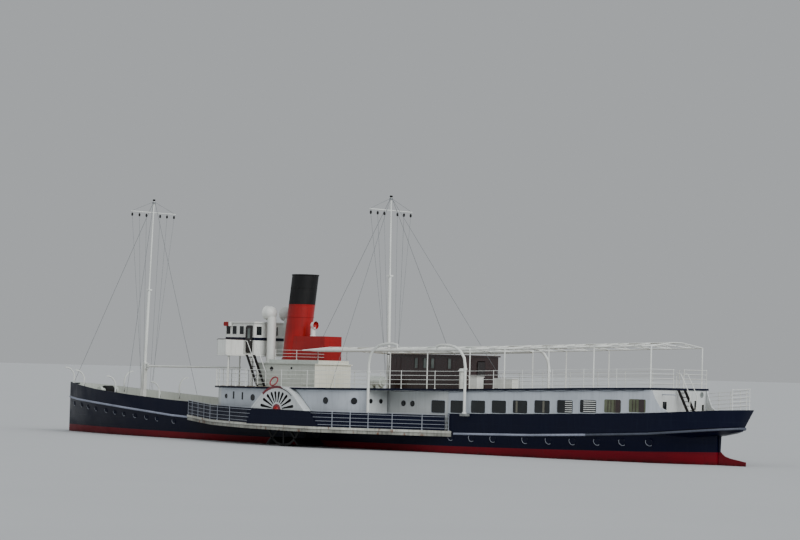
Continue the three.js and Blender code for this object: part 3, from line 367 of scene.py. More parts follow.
def feed(tree, node, inputs):
    """Gives each input of a node its value, or the socket that feeds it."""
    for key, value in inputs.items():
        if isinstance(value, bpy.types.NodeSocket):
            tree.links.new(value, node.inputs[key])
        else:
            node.inputs[key].default_value = value


def add_node(tree, kind, inputs=None, **settings):
    made = tree.nodes.new(kind)
    for key, value in settings.items():
        setattr(made, key, value)
    feed(tree, made, inputs or {})
    return made


def new_material(name):
    """A material with an empty tree, its shader and the object's own coordinates."""
    material = bpy.data.materials.new(name)
    material.use_nodes = True
    tree = material.node_tree
    tree.nodes.clear()
    shader = add_node(tree, "ShaderNodeBsdfPrincipled")
    add_node(tree, "ShaderNodeOutputMaterial", {"Surface": shader.outputs["BSDF"]})
    place = add_node(tree, "ShaderNodeTexCoord").outputs["Object"]
    return material, tree, shader, place


def maths(tree, operation, *values):
    return add_node(tree, "ShaderNodeMath", dict(enumerate(values)), operation=operation).outputs[0]


def times(tree, first, second):
    return maths(tree, "MULTIPLY", first, second)


def ramp(tree, value, low=0, high=1, to_low=0, to_high=1):
    """Maps a value from one range to another."""
    ends = {"From Min": low, "From Max": high, "To Min": to_low, "To Max": to_high}
    return add_node(tree, "ShaderNodeMapRange", {"Value": value, **ends}).outputs["Result"]


def bumped(tree, height, strength, deep):
    relief = {"Height": height, "Strength": strength, "Distance": deep}
    return add_node(tree, "ShaderNodeBump", relief).outputs["Normal"]


def mixed(tree, factor, first, second):
    """Colour between two colours; each is a hex value or a socket."""
    first, second = [linear(c) if isinstance(c, str) else c for c in (first, second)]
    return add_node(tree, "ShaderNodeMix", {0: factor, 6: first, 7: second}, data_type="RGBA").outputs[2]


def patches(tree, place, size_mm, low, high, stretch=(1, 1, 1), detail=4):
    """Soft-edged patches about size_mm across; low and high set how much they cover."""
    scaled = add_node(tree, "ShaderNodeMapping", {"Vector": place, "Scale": stretch}).outputs[0]
    settings = {"Vector": scaled, "Scale": 1000 / size_mm, "Detail": detail}
    return ramp(tree, add_node(tree, "ShaderNodeTexNoise", settings).outputs["Fac"], low, high)


def plate_seams(tree, place, long_mm, high_mm, seam_mm, run=0):
    """Lines where plates or boards meet, on a side that runs fore and aft (0) or athwart (1)."""
    apart = add_node(tree, "ShaderNodeSeparateXYZ", {0: place})
    flat = add_node(tree, "ShaderNodeCombineXYZ", {0: apart.outputs[run], 1: apart.outputs[2]}).outputs[0]
    settings = {
        "Vector": flat, "Scale": 1, "Brick Width": long_mm / 1000, "Row Height": high_mm / 1000,
        "Mortar Size": seam_mm / 1000, "Mortar Smooth": 0.6,
    }
    return add_node(tree, "ShaderNodeTexBrick", settings).outputs["Fac"]


def enamel(name, colour, grime, wear=0.3, rust=0.0, gloss=0.38, seams=None, dust=None, shine=0.5):
    """Brushed marine enamel on steel: brush and rain marks, a duller bloom, and rust where it is worn."""
    material, tree, shader, place = new_material(name)
    bloom = patches(tree, place, 160, 0.42, 0.72)
    rain = patches(tree, place, 60, 0.5, 0.78, stretch=(4, 4, 0.35))
    shade = mixed(tree, times(tree, bloom, wear), colour, dust or grime)
    shade = mixed(tree, times(tree, rain, wear * 1.2), shade, grime)
    if rust:
        bleeding = patches(tree, place, 26, 0.66 - rust * 0.1, 0.72, stretch=(1, 1, 0.4), detail=6)
        shade = mixed(tree, bleeding, shade, "#6e4026")
    height = times(tree, patches(tree, place, 5, 0.2, 0.8, stretch=(0.4, 0.4, 1)), 0.15)
    if seams:
        lap = plate_seams(tree, place, *seams)
        shade = mixed(tree, times(tree, lap, 0.35), shade, grime)
        height = maths(tree, "SUBTRACT", height, lap)
    roughness = ramp(tree, bloom, to_low=gloss, to_high=min(gloss + 0.25, 1))
    feed(tree, shader, {
        "Base Color": shade, "Normal": bumped(tree, height, 0.35, 0.0012), "IOR": 1.5,
        "Roughness": roughness, "Specular IOR Level": shine,
    })
    return material


def hull_enamel(name):
    """Navy alkyd enamel over red antifouling: lapped plates, a hard boot-top line that rises at the stern,
    and a brown stain where the water washes it."""
    material, tree, shader, place = new_material(name)
    apart = add_node(tree, "ShaderNodeSeparateXYZ", {0: place})
    along_ship, high = apart.outputs[0], apart.outputs[2]
    # The red reaches 0.4 m up amidships, 0.78 m at the stern and 0.5 m at the bow
    aft = maths(tree, "MINIMUM", along_ship, 0)
    fore = maths(tree, "MAXIMUM", along_ship, 0)
    level = maths(tree, "MULTIPLY_ADD", fore, 0.0034, 0.04)
    line = maths(tree, "MULTIPLY_ADD", times(tree, aft, aft), 0.0045, level)
    navy_part = ramp(tree, maths(tree, "SUBTRACT", high, line), -0.0004, 0.0004)
    bloom = patches(tree, place, 220, 0.4, 0.75, stretch=(1, 1, 2))
    rain = patches(tree, place, 50, 0.52, 0.8, stretch=(4, 4, 0.3))
    navy = mixed(tree, times(tree, bloom, 0.4), "#040820", "#080e26")
    navy = mixed(tree, times(tree, rain, 0.35), navy, "#151c2b")
    red = mixed(tree, times(tree, bloom, 0.5), "#6e0c1a", "#480a14")
    stain = ramp(tree, high, 0.022, 0, 0, 0.85)
    growth = patches(tree, place, 30, 0.3, 0.65, stretch=(1, 1, 0.5))
    red = mixed(tree, times(tree, stain, growth), red, "#1c100e")
    shade = mixed(tree, navy_part, red, navy)
    lap = plate_seams(tree, place, 480, 62, 1.6)
    shade = mixed(tree, times(tree, lap, 0.25), shade, "#05070f")
    waves = patches(tree, place, 120, 0.2, 0.8)
    height = maths(tree, "ADD", times(tree, waves, 0.8), times(tree, lap, -0.6))
    feed(tree, shader, {
        "Base Color": shade, "Normal": bumped(tree, height, 0.5, 0.002), "IOR": 1.5,
        "Roughness": ramp(tree, bloom, to_low=0.28, to_high=0.5), "Specular IOR Level": 0.15,
    })
    return material


def deck_planks(name, light, dark):
    """Scrubbed softwood planks, 125 mm wide at full size, payed with dark caulking."""
    material, tree, shader, place = new_material(name)
    planks = add_node(tree, "ShaderNodeTexBrick", {
        "Vector": place, "Scale": 1, "Brick Width": 0.6, "Row Height": 0.0125, "Mortar Size": 0.0007,
        "Mortar Smooth": 0.2, "Color1": linear(light), "Color2": linear(dark), "Mortar": linear("#2a2622"),
    })
    grain = patches(tree, place, 3, 0.3, 0.7, stretch=(0.06, 1, 1))
    wet = patches(tree, place, 200, 0.45, 0.75)
    shade = mixed(tree, times(tree, grain, 0.3), planks.outputs["Color"], dark)
    shade = mixed(tree, times(tree, wet, 0.35), shade, "#5d564c")
    normal = bumped(tree, times(tree, planks.outputs["Fac"], -1), 0.4, 0.0006)
    feed(tree, shader, {"Base Color": shade, "Normal": normal, "Roughness": 0.75})
    return material


def mahogany(name, light, dark):
    """Varnished mahogany joinery: upright grain under a clear coat that has weathered unevenly."""
    material, tree, shader, place = new_material(name)
    grain = patches(tree, place, 4, 0.3, 0.7, stretch=(1, 1, 0.08), detail=6)
    boards = plate_seams(tree, place, 14, 900, 0.8)
    shade = mixed(tree, boards, mixed(tree, grain, dark, light), "#120a08")
    worn = patches(tree, place, 90, 0.45, 0.7)
    feed(tree, shader, {
        "Base Color": shade, "Normal": bumped(tree, times(tree, boards, -1), 0.4, 0.0006),
        "Roughness": ramp(tree, worn, to_low=0.25, to_high=0.55), "Coat Weight": 0.4, "Coat Roughness": 0.2,
    })
    return material


def window_glass(name, clear, clouded):
    """Plate glass with an unlit room behind it: dark, faintly uneven, and filmed with salt."""
    material, tree, shader, place = new_material(name)
    film = patches(tree, place, 70, 0.4, 0.8)
    sag = patches(tree, place, 60, 0.2, 0.8)
    feed(tree, shader, {
        "Base Color": mixed(tree, film, clear, clouded), "Normal": bumped(tree, sag, 0.15, 0.001),
        "Roughness": ramp(tree, film, to_low=0.04, to_high=0.22), "IOR": 1.52,
    })
    return material


def wire_rope(name):
    """Galvanised wire rope: dull zinc grey with a fine lay."""
    material, tree, shader, place = new_material(name)
    shade = mixed(tree, patches(tree, place, 4, 0.3, 0.7), "#8b9093", "#5e6366")
    feed(tree, shader, {"Base Color": shade, "Metallic": 0.6, "Roughness": 0.55})
    return material


def studio_floor(name):
    """Matt pale board with a barely uneven tone."""
    material, tree, shader, place = new_material(name)
    tone = patches(tree, place, 900, 0.3, 0.7)
    shade = mixed(tree, times(tree, tone, 0.3), "#c3c6c8", "#bcbfc2")
    feed(tree, shader, {"Base Color": shade, "Roughness": 0.9})
    return material


hull_paint = hull_enamel("navy_hull_enamel")
navy_paint = enamel(
    "navy_enamel", "#060b22", "#141c2e", 0.3, gloss=0.35, seams=(480, 62, 1.4), dust="#0b1229", shine=0.15,
)
white_paint = enamel("white_enamel", "#dfe2de", "#a9aca4", 0.28)
wall_paint = enamel("white_plating_enamel", "#ccd1d2", "#9a9f9b", 0.3, seams=(240, 240, 0.9))
# The white plating enamel again, darkened as painted shade, for walls that face port or starboard
shaded_side_paint = enamel("painted_shade_white_enamel", "#b9c0c8", "#8b9298", 0.3, seams=(240, 240, 0.9))
green_paint = enamel("pale_green_enamel", "#c4cbc4", "#949c94", 0.3, seams=(200, 200, 0.9))
cream_boards = enamel("cream_boarding_enamel", "#f0f1e2", "#c4c3b0", 0.25, seams=(16, 900, 1.6, 1))
red_paint = enamel(
    "funnel_red_enamel", "#9c0f10", "#5f0c0e", 0.35, gloss=0.34, seams=(90, 110, 0.9), shine=0.35,
)
arch_paint = enamel("dull_red_enamel", "#6f1f2a", "#5c4042", 0.4, gloss=0.5)
black_paint = enamel("black_enamel", "#08090b", "#1c1b1b", 0.4, gloss=0.5, seams=(90, 110, 0.9), shine=0.3)
belting_paint = enamel("belting_grey_enamel", "#9aa0b4", "#6b707e", 0.5, gloss=0.5)
dark_belting = enamel("weathered_belting_enamel", "#474d5b", "#2c313c", 0.5, gloss=0.5)
fender_paint = enamel("fender_enamel", "#c9cac0", "#77766b", 0.6, rust=0.7, gloss=0.5)
worn_fender = enamel("worn_fender_enamel", "#a3a49b", "#4d4c46", 0.75, rust=0.9, gloss=0.55)
rail_paint = enamel("rail_grey_enamel", "#a9afba", "#7b8089", 0.4)
iron_paint = enamel("deck_iron_enamel", "#8f9594", "#5d5b57", 0.5, rust=0.6, gloss=0.5)
ladder_paint = enamel("bitumen_black_iron", "#0d0b0b", "#241d19", 0.5, gloss=0.5, shine=0.3)
plank_wood = deck_planks("scrubbed_deck_planks", "#a3937b", "#85765f")
mahogany_wood = mahogany("varnished_mahogany", "#2e1110", "#190909")
door_wood = mahogany("dark_stained_teak", "#1b1010", "#0e0808")
dark_glass = window_glass("window_glass", "#090d10", "#1a2225")
olive_glass = window_glass("olive_window_glass", "#50563f", "#6b705a")
grey_glass = window_glass("grey_window_glass", "#59625f", "#7d8783")
wire = wire_rope("galvanised_wire_rope")
grey_curtain = enamel("faded_curtain_cloth", "#6b6a60", "#4b4a44", 0.3, gloss=0.9)
buoy_red = enamel("lifebuoy_red", "#8e2832", "#7c4a4c", 0.4, gloss=0.5)
lamp_red = window_glass("red_lamp_glass", "#8c0f12", "#b3282b")
lamp_green = window_glass("green_lamp_glass", "#0f6b3a", "#2b8a55")


# Studio and camera

def studio():
    deselect()
    bpy.ops.mesh.primitive_circle_add(vertices=96, radius=400, fill_type="NGON", location=(0, 0, 0))
    floor = bpy.context.object
    floor.name = "floor"
    coat(floor, studio_floor("pale_floor"))
    world = bpy.data.worlds.new("soft_sky")
    world.use_nodes = True
    world.node_tree.nodes["Background"].inputs["Color"].default_value = linear("#dfe3e6")
    world.node_tree.nodes["Background"].inputs["Strength"].default_value = 0.56
    bpy.context.scene.world = world
    # name, where it comes from, how many degrees wide it is, strength
    lights = [("key_light", (-0.9, 0.18, 0.5), 50, 2.7), ("fill_light", (0.3, 0.9, 0.6), 70, 0.35)]
    for name, source, wide, power in lights:
        data = bpy.data.lights.new(name, "SUN")
        data.angle = math.radians(wide)
        data.energy = power
        lamp = bpy.data.objects.new(name, data)
        lamp.rotation_euler = Vector(source).to_track_quat("Z", "Y").to_euler()
        lamp.location = Vector(source) * 20
        bpy.context.scene.collection.objects.link(lamp)


def camera():
    data = bpy.data.cameras.new("camera")
    data.sensor_width = SENSOR_MM
    data.lens = FOCAL_PX * SENSOR_MM / PICTURE_WIDE
    data.clip_end = 2000
    taken = bpy.data.objects.new("camera", data)
    ahead = Vector((math.sin(HEADING), -math.cos(HEADING), 0))
    right = Vector((-math.cos(HEADING), -math.sin(HEADING), 0))
    # The horizon is turned about its own point, so the picture's centre lies a little to its side
    aim = ahead * FOCAL_PX - right * HORIZON_BELOW * math.sin(ROLL) + UP * HORIZON_BELOW * math.cos(ROLL)
    back = -aim.normalized()
    across = right * math.cos(ROLL) + UP * math.sin(ROLL)
    upward = back.cross(across).normalized()
    across = upward.cross(back)
    turn = Matrix((across, upward, back)).transposed().to_4x4()
    taken.matrix_world = moved(*CAMERA_PLACE) @ turn
    bpy.context.scene.collection.objects.link(taken)
    bpy.context.scene.camera = taken


# Finishes of the frame's own nodes

def finish_node(name, base, *rules):
    """Gives a node its material, and others to the faces that a rule of centre and normal picks."""
    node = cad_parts[name]
    node.data.materials.clear()
    coat(node, base, *[rule[0] for rule in rules])
    for face in node.data.polygons:
        face.use_smooth = True
        face.material_index = 0
        for k, (_, test) in enumerate(rules, 1):
            if test(face.center / FULL, face.normal):
                face.material_index = k
    # The node's triangles are loose, so they are welded and split again at the edges to shade as one skin
    weld = node.modifiers.new("weld", "WELD")
    weld.merge_threshold = MERGE
    split = node.modifiers.new("split", "EDGE_SPLIT")
    split.split_angle = math.radians(32)


def is_top(centre, normal):
    return normal.z > 0.8


def upper_tier(centre, normal):
    edge = abs(centre.y) > along(SPONSON_HALF, centre.x) - 0.2 and abs(normal.z) < 0.7
    return edge and centre.z > along(MAIN_SHEER, centre.x) - 0.09


def lower_tier(centre, normal):
    edge = abs(centre.y) > along(SPONSON_HALF, centre.x) - 0.2 and normal.z > -0.7
    return edge and centre.z < along(MAIN_SHEER, centre.x) - 0.09


def from_fan(centre):
    """How far a place is from the fan's centre, where the slots end at 1."""
    return math.hypot((centre.x - PADDLE_X) / FAN_WIDE, (centre.z - FAN_Z) / FAN_HIGH)


def in_the_dark(centre, normal):
    """The inside of a paddle box, and the walls of its slots."""
    inward = (centre.x - PADDLE_X) * normal.x + (centre.z - 1.5) * normal.z < -0.05 and abs(centre.y) < 6.86
    behind = centre.y * normal.y < 0 and abs(centre.y) > 6
    slot = 6.84 < abs(centre.y) < 6.925 and from_fan(centre) < 1
    return inward or behind or slot


def is_hub(centre, normal):
    return abs(centre.y) > 6.935 and from_fan(centre) < 0.22


def is_arch(centre, normal):
    return abs(centre.y) > 6.94 and centre.z > 2.95 and centre.x > 1.15


def outer_side(centre, normal):
    return abs(normal.y) > 0.7 and centre.y * normal.y > 0


def inner_side(centre, normal):
    return centre.y * normal.y < -0.01


def finish_nodes():
    """Each node takes the finish of the first entry that its name starts with, and the rest are white."""
    deck = (plank_wood, is_top)
    plan = {
        "hull": (hull_paint, deck),
        "rudder": (hull_paint,),
        # Walls facing port or starboard, on the saloon and the side houses, take the darker copy of the
        # white: painted shade
        "saloon_walls": (wall_paint, (shaded_side_paint, outer_side)),
        "midship_walls": (wall_paint,),
        "side_house": (wall_paint, (shaded_side_paint, lambda c, n: abs(n.y) > 0.9)),
        "sponson_bulwark": (navy_paint,),
        # The sponson's underside and inner faces take black as painted shade beneath it
        "sponson": (black_paint, deck, (fender_paint, upper_tier), (worn_fender, lower_tier)),
        # The wheels take black as painted shade, standing for the dark inside the boxes
        "paddle_wheels": (black_paint,),
        # The box's inside and the walls of its slots take black as painted shade
        "paddle_box": (wall_paint, (black_paint, in_the_dark), (red_paint, is_hub), (arch_paint, is_arch)),
        "promenade_deck": (wall_paint, deck, (navy_paint, lambda c, n: abs(n.z) < 0.5)),
        "fore_bulwark": (
            navy_paint, (white_paint, lambda c, n: c.z > along(BULWARK_TOP, c.x) + 0.01),
            (green_paint, inner_side),
        ),
        "aft_plating": (
            navy_paint, deck, (iron_paint, lambda c, n: abs(c.y) > 3.62 and -11.5 < c.x < -10.9),
            (green_paint, lambda c, n: c.x > -24.05 and inner_side(c, n)),
        ),
        "funnel_top": (black_paint,),
        "funnel": (red_paint,),
        "casing_cowl": (white_paint,),
        "casing": (red_paint,),
        "deckhouse_rail": (white_paint,),
        "deckhouse": (green_paint, (cream_boards, lambda c, n: n.x < -0.8)),
        "bridge_deck": (white_paint, deck),
        "bridge_ladder": (ladder_paint,),
        "aft_ladder": (ladder_paint,),
        "wheelhouse_door": (door_wood,),
        "wood_house_roof": (mahogany_wood, (green_paint, is_top)),
        "wood_house_door": (door_wood,),
        "wood_house_walls": (mahogany_wood,),
        "windlass": (green_paint, (black_paint, lambda c, n: abs(c.y) < 0.36 and c.z > 2.74)),
        "life_raft": (green_paint,),
        "foremast_stays": (wire,),
        "mainmast_stays": (wire,),
    }
    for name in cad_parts:
        finish_node(name, *next((plan[key] for key in plan if name.startswith(key)), (white_paint,)))


# Places along the ship's lines

def over_deck(x, y, rise):
    """A place over the promenade deck."""
    return at(x, y, along(PROM_SHEER, x) + rise)


def stops(table, fore, aft):
    """Two places along the ship, and those between them where a table bends."""
    return [fore, *sorted({x for x, _ in table if aft + 0.01 < x < fore - 0.01}, reverse=True), aft]


# Hull

PORTS_FORE = [
    (28.0, 2.0), (26.54, 1.93), (25.44, 1.83), (24.18, 1.72), (22.81, 1.64), (21.68, 1.56),
    (20.47, 1.48), (19.18, 1.4), (17.9, 1.33), (16.74, 1.25), (14.86, 1.16),
]
PORTS_AFT = [
    (-9.96, 1.0), (-11.59, 1.0), (-13.25, 1.01), (-15.65, 1.03), (-17.34, 1.06), (-19, 1.08), (-20.66, 1.12),
    (-22.3, 1.16), (-23.97, 1.2),
]


def hull_ports():
    """Side scuttles with their deadlights shut, navy but for a pale arc round the lower fore quarter: a
    painted highlight where light catches the inner wall of a recessed port.
    """
    made = []
    for radius, rows in ((0.13, PORTS_FORE), (0.19, PORTS_AFT)):
        pattern = porthole("scuttle", radius, navy_paint, navy_paint, 0.035)
        # A pale arc of rod as a painted highlight, the light on the lower fore inner wall of a recessed port
        lip = rods("lip", [[at(x, 0.03, z) for x, z in arc(-125, 37, 9, radius + 0.03)]], 0.014, 2)
        coat(lip, rail_paint)
        # Mirrored to starboard, so that the painted highlight stays on the fore quarter
        places = [
            on_side("hull", x, z, hand) @ Matrix.Scale(hand, 4, (1, 0, 0)) for x, z in rows for hand in SIDES
        ]
        made.append(copies(join([pattern, lip], "scuttle"), places, "scuttles"))
    fit(join(made, "hull_scuttles"), None, "navy_paint")


def beltings():
    """Half-round rubbing strakes at the main deck's edge, round the bow and round the stern."""
    for name, fore, aft, radius in (
        ("belting_forward", 29.69, 13.4, 0.07), ("belting_aft", -10.2, -28.6, 0.068),
    ):
        port = [at(x, along(MAIN_HALF, x) + 0.07 - radius, along(MAIN_SHEER, x) - 0.1)
                for x in stops(MAIN_HALF + MAIN_SHEER, fore, aft)]
        starboard = mirrored(port)[::-1]
        line = [*starboard, *port] if fore > 20 else [*port, *starboard]
        strake = fit(rods(name, [line], radius, 3), belting_paint, "grey_paint", name)
        # Aft of the saloon's seventh light the paint has weathered dark
        coat(strake, dark_belting)
        for face in strake.data.polygons:
            face.material_index = 1 if face.center.x < -20 * FULL else 0


# Rails

BAR = 0.014  # radius of a rail's bars
POST = 0.02  # radius of its stanchions


def stanchions(places, high):
    profile = [
        (0, 0), (0.06, 0), (0.06, 0.02), (POST, 0.035), (POST, high - 0.05), (POST * 1.5, high - 0.02),
        (POST * 1.5, high + 0.02), (0, high + 0.035),
    ]
    pattern = turned("stanchion", profile, steps=10)
    return copies(pattern, [Matrix.Translation(place) for place in places], "posts")


def railing(name, lines, heights, pitch, replaced=()):
    """Round bars along lines on a deck, with turned stanchions at an even pitch."""
    bars = [[place + at(0, 0, height) for place in line] for line in lines for height in heights]
    posts = stanchions([place for line in lines for place in spaced(line, pitch)], max(heights))
    fit(join([rods(name, bars, BAR), posts], name), white_paint, "white_paint", *replaced)


def rails():
    """Rails of the promenade deck, round the stern, on the starboard quarter and round the casing."""
    four = (0.27, 0.54, 0.8, 1.06)
    fore, middle, after = [], [], []
    for hand in SIDES:
        for made, start, end in ((fore, 12.3, 4.2), (middle, 4.2, -4.7), (after, -4.7, -24.1)):
            made.append([over_deck(x, hand * (along(PROM_HALF, x) - 0.12), 0)
                         for x in stops(PROM_HALF, start, end)])
        after[-1].append(over_deck(-24.1, hand * 0.5, 0))
    fore.append([at(12.3, 0.78, 3.61), at(12.3, -0.78, 3.61)])
    railing("promenade_rail_fore", fore, four, 1.1, ("promenade_rail",))
    railing("promenade_rail_middle", middle, four, 2.2)
    railing("promenade_rail_after", after, four, 2.2)
    stern = [[x, -(along(MAIN_HALF, x) - 0.06), along(PLATING_TOP, x)] for x in (-25.3, -26, -27, -28)]
    stern += [[-28.98, -0.2, 3.21], [-28.98, 0.2, 3.21], [-28.4, 0.72, 3.17]]
    heights = (0.24, 0.47, 0.7, 0.93, 1.14)
    railing("stern_taffrail", [[at(*place) for place in stern]], heights, 1.1, ("stern_rail",))
    # Forward of those the starboard bars end on the saloon's curved wing
    bars = []
    for start, high in zip((-24.9, -24.65, -24.5, -24.35, -24.3), heights):
        ends = [(x, -(along(MAIN_HALF, x) - 0.06), along(PLATING_TOP, x) + high) for x in (start, -25.3)]
        bars.append([at(*place) for place in ends])
    fit(rods("quarter_rail", bars, BAR), white_paint, "white_paint")
    lines = [[at(3.72, hand * 1.34, 5.42), at(7.6, hand * 1.34, 5.42)] for hand in SIDES]
    lines.append([lines[1][0], lines[0][0]])
    railing("casing_rail", lines, (0.2, 0.4, 0.62), 1.9, ("deckhouse_rail",))


def sponson_edge(x, hand, inset, rise):
    """A place in from the sponson's edge, over the main deck's covering board."""
    return at(x, hand * (along(SPONSON_HALF, x) - inset), along(MAIN_SHEER, x) + 0.065 + rise)


def sponson_screens():
    """Navy screen along the sponson's edge, white rails over it, and the raised panel below the fan."""
    for hand, label in LABELS:
        node = f"sponson_bulwark_{label}"
        line = [sponson_edge(x, hand, 0.06, 0) for x in stops(SPONSON_HALF, 13.2, -9.6)]
        screen = strip(f"sponson_screen_{label}", line, 0.93, 0.03)
        fit(screen, navy_paint, "navy_paint", node)
        bars = []
        for high in (0.14, 0.36, 0.59, 0.83, 0.97):
            # The bars stop at the slanted ends of the panel below the fan
            fore_end, aft_end = 4.29 - 0.47 * min(high, 0.92), -2.1 + 0.87 * min(high, 0.92)
            for fore, aft in ((13.2, fore_end), (aft_end, -9.84)):
                bars.append([sponson_edge(x, hand, 0.02, high) for x in stops(SPONSON_HALF, fore, aft)])
        posts = [13.2, 12.42, 11.29, 10.27, 9.24, 8.14, 6.41, -2.93, -4.1, -5.18, -6.59, -8.32, -9.84]
        feet = [sponson_edge(x, hand, 0.02, 0) for x in posts]
        rail = join([rods("bars", bars, 0.013), stanchions(feet, 0.97)], f"sponson_rail_{label}")
        fit(rail, rail_paint, "white_paint", node)
        foot = along(MAIN_SHEER, 0) + 0.07
        outline = ((4.26, foot), (3.83, foot + 0.92), (-1.27, foot + 0.92), (-2.07, foot))
        corners = [at(x, hand * 7, z) for x, z in outline]
        panel = plate(f"fan_panel_{label}", corners, at(0, hand * 0.06, 0), 0.03)
        fit(panel, navy_paint, "navy_paint", node)


# Windows and portholes

def window(name, wide, high, corner, pane, border=0.05, deep=0.05, rim=None):
    """A framed pane that faces +Y: a rounded flange on the wall, and glass set back by a depth."""
    deselect()
    bpy.ops.mesh.primitive_cube_add(size=1, location=at(0, 0.0095, 0))
    piece = bpy.context.object
    piece.scale = at(wide + 2 * border, 0.015, high + 2 * border)
    settle(named(piece, name))
    open_mesh(piece)
    bpy.ops.mesh.select_all(action="DESELECT")
    mesh = bmesh.from_edit_mesh(piece.data)
    for edge in mesh.edges:
        edge.select_set(abs(edge.verts[0].co.y - edge.verts[1].co.y) > 0.001 * FULL)
    bmesh.update_edit_mesh(piece.data)
    bpy.ops.mesh.bevel(offset=(corner + border) * FULL, segments=5)
    for front, lip, reach in ((1, 0.012, deep), (-1, 0.004, deep + 0.012)):
        pick(piece, lambda centre, normal: normal.y * front > 0.9)
        bpy.ops.mesh.inset(thickness=(border + lip) * FULL)
        extrude(at(0, -reach, 0))
    close_mesh()
    coat(piece, rim or white_paint, pane)
    for face in piece.data.polygons:
        # The flange's own front stands at 0.017, and the pane behind it
        face.material_index = 1 if face.normal.y > 0.9 and face.center.y < 0.016 * FULL else 0
    return piece


def porthole(name, radius, pane, rim=None, ring=0.06):
    """A round light that faces +Y, with its ring bolted to the wall."""
    profile = [
        (0, 0.001), (radius + ring, 0.001), (radius + ring * 0.9, 0.02), (radius + ring * 0.5, 0.035),
        (radius, 0.03), (radius - 0.01, 0.008), (0, 0.008),
    ]
    piece = turned(name, profile, steps=20)
    piece.data.transform(SIDEWAYS)
    coat(piece, rim or white_paint, pane)
    for face in piece.data.polygons:
        inner = face.center.xz.length < (radius - 0.012) * FULL
        face.material_index = 1 if inner and face.normal.y > 0.9 else 0
    return piece


def on_side(node, x, z, hand=1):
    """Where a fitting goes on a node's side, as a matrix."""
    place, normal = hit(node, at(x, hand * 12, z), Vector((0, -hand, 0)))
    return facing(place, normal)


def on_after_face(node, y, z):
    place, normal = hit(node, at(-35, y, z), Vector((1, 0, 0)))
    return facing(place, normal)


def saloon_lights():
    """Ten big lights a side, some with louvres, bars or a curtain."""
    for hand, label in LABELS:
        clear, olive = [], []
        slats, bars, curtains, panels = [], [], [], []
        # Mirrored to starboard, so that a fitting keeps its place from the bow
        mirror = Matrix.Scale(hand, 4, (1, 0, 0))
        for k in range(10):
            x = -8.82 - 1.612 * k
            z = along(PLATING_TOP, x) + 0.41
            wall = 3.6 if k == 0 else along(MAIN_HALF, x) - 0.02
            slope = (along(MAIN_HALF, x + 0.4) - along(MAIN_HALF, x - 0.4)) / 0.8 if k else 0
            place = facing(at(x, hand * wall, z), Vector((-slope, hand, 0))) @ mirror

            def aside(reach, rise=0):
                return place @ moved(reach, 0, rise)

            (olive if k in (8, 9) else clear).append(place)
            if k in (6, 7):
                width, shift = (1, -0.26) if k == 6 else (1.7, -0.1)
                slats += [aside(shift, -0.3 + 0.12 * r) @ Matrix.Scale(width, 4, (1, 0, 0)) for r in range(6)]
            if k in (8, 9):
                bars += [aside(reach) for reach in (-0.12, 0.1, 0.3)]
                panels.append(aside(-0.36 if k == 8 else -0.28))
            if k in (4, 5):
                curtains.append(aside(0.26 if k == 4 else -0.1))
        lights = [
            copies(window("light", 1.13, 0.78, 0.1, pane, 0.02, 0.008, shaded_side_paint), places, "lights")
            for pane, places in ((dark_glass, clear), (olive_glass, olive))
        ]
        for name, low, high, finish, places in (
            ("louvre", (-0.24, 0.01, -0.012), (0.24, 0.03, 0.03), white_paint, slats),
            ("glazing_bar", (-0.02, 0.01, -0.35), (0.02, 0.022, 0.35), mahogany_wood, bars),
            ("curtain", (-0.07, 0.01, -0.34), (0.07, 0.018, 0.34), grey_curtain, curtains),
            ("panel", (-0.17, 0.01, -0.36), (0.17, 0.02, 0.36), mahogany_wood, panels),
        ):
            lights.append(copies(coat(slab(name, low, high, 0.004), finish), places, name))
        fit(join(lights, f"saloon_lights_{label}"), None, "black_paint")


def wheelhouse_lights():
    made = [outboard(x, 1.7, 7.3, hand) for hand in SIDES for x in (11.75, 11.16, 10.48)]
    front = [facing(at(12, y, 7.27), Vector((1, 0, 0))) for y in (-1.28, -0.64, 0, 0.64, 1.28)]
    back = [facing(at(9.3, y, 7.27), Vector((-1, 0, 0))) for y in (1.27, -1.27, -0.4)]
    lights = [
        copies(window("light", wide, high, corner, dark_glass, border, deep), places, "lights")
        for wide, high, corner, border, deep, places in (
            (0.42, 0.56, 0.03, 0.02, 0.008, made), (0.52, 0.58, 0.03, 0.035, 0.05, front),
            (0.5, 0.6, 0.02, 0.04, 0.008, back[:2]), (0.2, 0.58, 0.02, 0.035, 0.05, back[2:]),
        )
    ]
    fit(join(lights, "wheelhouse_lights"), None, "black_paint")


def wood_house_lights():
    """Tall narrow lights, and the shut panel at the fore end of each side."""
    places = [outboard(x, 1.6, 5.4, hand) for hand in SIDES for x in (-5.08, -5.82, -6.45, -7.85)]
    light = window("light", 0.32, 0.64, 0.02, grey_glass, 0.045, 0.05, mahogany_wood)
    lights = copies(light, places, "lights")
    closed = [outboard(-3.6, 1.6, 5.4, hand) for hand in SIDES]
    shut = window("panel", 0.34, 0.66, 0.02, mahogany_wood, 0.03, 0.01, mahogany_wood)
    fit(join([lights, copies(shut, closed, "panels")], "wood_house_lights"), None, "varnished_wood")


